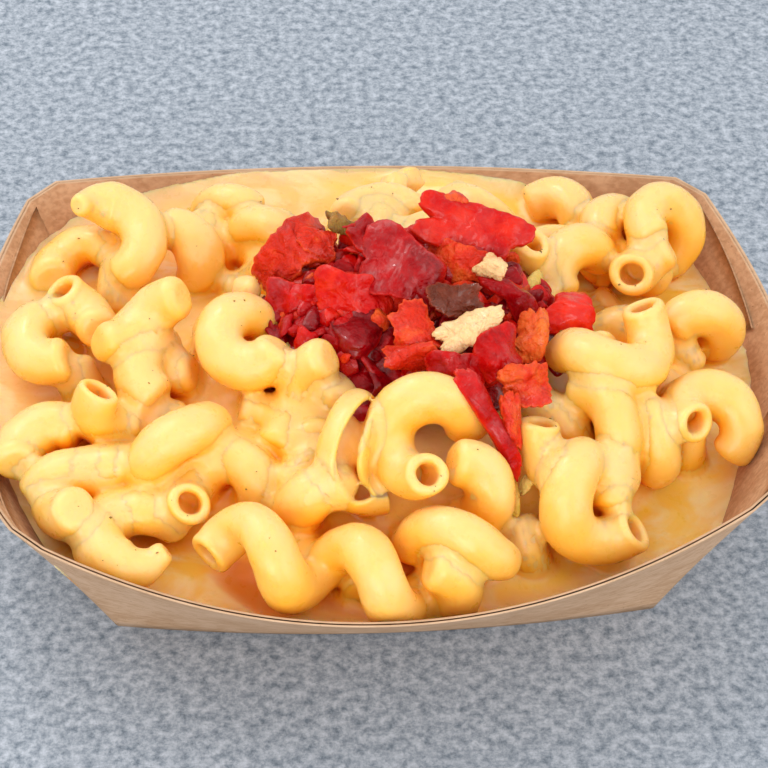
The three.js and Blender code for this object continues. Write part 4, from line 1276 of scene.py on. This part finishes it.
class Nodes:
    """A short way to write a node material."""

    def __init__(self, name):
        self.material = bpy.data.materials.new(name)
        self.material.use_nodes = True
        self.tree = self.material.node_tree
        self.shader = self.tree.nodes["Principled BSDF"]
        self.place = self.tree.nodes.new("ShaderNodeTexCoord").outputs["Object"]

    def link(self, source, target):
        """Feed a socket from another socket, or set it to a plain value."""
        if hasattr(source, "is_linked"):
            self.tree.links.new(source, target)
        else:
            target.default_value = source

    def add(self, kind, **inputs):
        """A new node with the given inputs; an underscore in a name stands for a space."""
        node = self.tree.nodes.new("ShaderNode" + kind)
        for key, value in inputs.items():
            self.link(value, node.inputs[key.replace("_", " ")])
        return node

    def set(self, **sockets):
        """Inputs of the shader itself."""
        for key, value in sockets.items():
            self.link(value, self.shader.inputs[key.replace("_", " ")])

    def attribute(self, name):
        """A value that the mesh holds at each point."""
        node = self.add("Attribute")
        node.attribute_name = name
        return node.outputs["Fac"]

    def noise(self, scale, detail=3.0, distortion=0.0, stretch=None):
        """Noise of about 0 to 1 by place, drawn out along the axes by stretch."""
        place = self.place
        if stretch:
            place = self.add("Mapping", Vector=place, Scale=stretch).outputs["Vector"]
        return self.add("TexNoise", Vector=place, Scale=scale, Detail=detail,
                        Distortion=distortion).outputs["Fac"]

    def maths(self, operation, a, b):
        """One sum on two values."""
        node = self.add("Math")
        node.operation = operation
        self.link(a, node.inputs[0])
        self.link(b, node.inputs[1])
        return node.outputs["Value"]

    def weighted(self, *parts):
        """The sum of values, each times its weight."""
        total = None
        for value, weight in parts:
            part = self.maths("MULTIPLY", value, weight)
            total = part if total is None else self.maths("ADD", total, part)
        return total

    def span(self, value, low, high, to_low=0.0, to_high=1.0):
        """A value moved from one range to another along an S-curve."""
        node = self.add("MapRange", Value=value, From_Min=low, From_Max=high, To_Min=to_low,
                        To_Max=to_high)
        node.interpolation_type = "SMOOTHSTEP"
        return node.outputs["Result"]

    def ramp(self, value, stops):
        """Screen colours at their positions, and mixtures between them."""
        node = self.add("ValToRGB", Fac=value)
        elements = node.color_ramp.elements
        while len(elements) < len(stops):
            elements.new(0.5)
        for element, (position, colour) in zip(elements, stops):
            element.position = position
            element.color = linear(*colour)
        return node.outputs["Color"]

    def mix(self, share, a, b):
        """Two colours mixed."""
        node = self.tree.nodes.new("ShaderNodeMix")
        node.data_type = "RGBA"
        for key, value in (("Factor", share), ("A", a), ("B", b)):
            self.link(value, node.inputs[key])
        return node.outputs["Result"]

    def bump(self, height, distance, strength=1.0):
        """Fine relief from a height, at most distance metres deep."""
        node = self.add("Bump", Strength=strength, Distance=distance, Height=height)
        self.link(node.outputs["Normal"], self.shader.inputs["Normal"])


# %% The cheese, the card and the toppings
CREAM = ((236, 190, 130), (250, 210, 154))
# Painted shade: the pool's deep orange where it lies far below the heap's envelope.
POOL_SHADE_COLOUR = (226, 134, 16)


def cheese_material(name, coats, calm, lively):
    """Painted light and shade: pale and creamy on open tops, golden on the sides, saturated and
    darker in the crevices and low places.

    Where the sauce is a level pool, a swirled mix of the calm and the lively colour takes over,
    with painted shade in deep orange where it lies low.
    """
    m = Nodes(name)
    crevice, depth, pool, pale, side = (m.attribute(key)
                                        for key in ("crevice", "depth", "pool", "pale", "side"))
    broad, small = (m.maths("SUBTRACT", m.noise(*grain), 0.5) for grain in ((75, 2), (260, 3)))
    # Painted shade: crevice, depth and side darken and deepen the colour where shade falls; the
    # two noises vary it at random.
    coated = m.ramp(m.weighted((crevice, 0.62), (depth, 0.22), (side, 0.26), (broad, 0.42),
                               (small, 0.16)), coats)
    swirl = m.span(m.noise(48, 4, 1.6, (1.0, 1.7, 1.0)), 0.40, 0.66)
    pooled = m.mix(pale, m.mix(swirl, linear(*calm), linear(*lively)),
                   m.mix(swirl, *(linear(*colour) for colour in CREAM)))
    # Painted shade: the pool turns deep orange with depth below the heap's envelope.
    pool_with_shade = m.mix(m.span(depth, 0.55, 1.0, 0.0, 0.85), pooled, linear(*POOL_SHADE_COLOUR))
    m.set(Base_Color=m.mix(m.span(pool, 0.35, 0.95), coated, pool_with_shade),
          Roughness=m.span(m.noise(420, 2), 0.3, 0.7, 0.26, 0.42),
          Subsurface_Weight=0.75, Subsurface_Radius=(1.0, 0.58, 0.16), Subsurface_Scale=0.0032,
          Coat_Weight=0.2, Coat_Roughness=0.14, IOR=1.42)
    m.bump(m.noise(520, 3), 0.00016, 0.8)
    return m.material


def card_material(name, light, dark):
    """Unbleached card: warm brown, fibres running one way, a paler raw edge and a few flecks."""
    m = Nodes(name)
    fibres = m.noise(900, 5, 0.3, (0.35, 1.0, 1.0))
    value = m.weighted((fibres, 0.6), (m.noise(90, 3), 0.4))
    colour = m.mix(m.span(value, 0.35, 0.65), linear(*dark), linear(*light))
    flecks = m.span(m.noise(1500, 1), 0.70, 0.76)
    colour = m.mix(m.maths("MULTIPLY", flecks, 0.5), colour, linear(120, 84, 56))
    edge = m.span(m.attribute("up"), 0.9985, 0.9999)
    colour = m.mix(m.maths("MULTIPLY", edge, 0.4), colour, linear(206, 176, 146))
    m.set(Base_Color=colour, Roughness=0.82, Specular_IOR_Level=0.25)
    m.bump(fibres, 0.00008, 0.5)
    return m.material


def topping_material(name, face_stops, rim_colour, roughness, coat, relief_depth):
    """A glossy skin or juicy flesh: tones by piece and place, and another colour on cut edges."""
    m = Nodes(name)
    colour = m.ramp(m.weighted((m.attribute("tone"), 0.35), (m.noise(150, 3, 0.6), 0.60),
                               (m.noise(560, 3), 0.25)), face_stops)
    cut = m.maths("MULTIPLY", m.attribute("rim"), 0.75)
    m.set(Base_Color=m.mix(cut, colour, linear(*rim_colour)), Roughness=roughness,
          Coat_Roughness=0.10, Specular_IOR_Level=0.2,
          Coat_Weight=m.span(m.noise(210, 2), 0.42, 0.60, 0.0, coat), Subsurface_Weight=0.25,
          Subsurface_Radius=(1.0, 0.16, 0.08), Subsurface_Scale=0.0015)
    m.bump(m.weighted((m.noise(260, 3, 0.8), 1.7), (m.noise(900, 3, 0.6), 0.5)), relief_depth)
    return m.material


POOL_COLOURS = (255, 204, 76), (255, 228, 164)
# The colour stops run from the open tops to the painted shade of the deepest crevices.
noodles.data.materials.append(cheese_material(
    "cheesy_pasta", [(0.02, (255, 205, 130)), (0.20, (255, 193, 88)), (0.40, (255, 179, 44)),
                     (0.66, (255, 154, 18)), (0.96, (216, 88, 8))], *POOL_COLOURS))
sauce.data.materials.append(cheese_material(
    "cheese_sauce", [(0.02, (254, 206, 136)), (0.24, (252, 198, 104)), (0.46, (252, 188, 72)),
                     (0.70, (250, 164, 30)), (0.96, (206, 84, 8))], *POOL_COLOURS))
# The inside copy is darker than the outside one: painted shade inside the boat, painted light on
# the outside.
lit_outside_card = card_material("kraft_outside_lit", (206, 172, 142), (184, 146, 112))
shaded_inside_card = card_material("kraft_inside_shaded", (198, 158, 124), (172, 130, 96))
outer_boat.data.materials.append(lit_outside_card)
for piece in [inner_boat] + gussets:
    piece.data.materials.append(shaded_inside_card)
# kind: name, colours of the faces, colour of the cut edge, roughness, coat, depth of the relief
FINISHES = {
    "skin": ("pepper_skin", [(0.35, (150, 0, 4)), (0.6, (198, 8, 6)), (0.85, (226, 44, 16))],
             (210, 36, 16), 0.32, 0.5, 0.0005),
    "dark": ("pepper_dark_skin", [(0.35, (98, 0, 6)), (0.62, (150, 0, 10)),
                                  (0.88, (190, 10, 12))], (190, 22, 14), 0.3, 0.6, 0.0006),
    "flesh": ("pepper_flesh", [(0.32, (176, 12, 6)), (0.58, (214, 44, 14)),
                               (0.86, (240, 118, 44))], (230, 80, 30), 0.4, 0.4, 0.0012),
    "onion": ("roasted_onion", [(0.25, (232, 176, 112)), (0.6, (244, 206, 150)),
                                (0.9, (250, 224, 180))], (240, 190, 130), 0.3, 0.5, 0.0012),
    "herb": ("herb", [(0.25, (112, 84, 24)), (0.6, (146, 108, 36)), (0.9, (176, 120, 50))],
             (120, 84, 28), 0.4, 0.2, 0.0012),
    "sliver": ("green_onion", [(0.35, (196, 172, 60)), (0.6, (222, 186, 84)),
                               (0.85, (236, 204, 120))], (210, 180, 80), 0.25, 0.6, 0.0012),
    "char": ("charred_skin", [(0.25, (70, 26, 14)), (0.6, (120, 50, 28)), (0.9, (176, 70, 40))],
             (150, 60, 36), 0.35, 0.6, 0.0012),
}
finishes = {kind: topping_material(*row) for kind, row in FINISHES.items()}
for piece, row in zip(toppings, TOPPINGS):
    piece.data.materials.append(finishes[row[1]])
# The mound takes the dark skin finish: dark skin, and painted shade in the gaps between the
# pieces.
for piece, kind in ((bed, "dark"), (red_shreds, "skin"), (dark_shreds, "dark"),
                    (orange_shreds, "flesh"), (slivers, "sliver"), (specks, "herb")):
    piece.data.materials.append(finishes[kind])
pasta_flakes.data.materials.append(noodles.data.materials[0])
print("finishes of the toppings:", ", ".join(finishes))
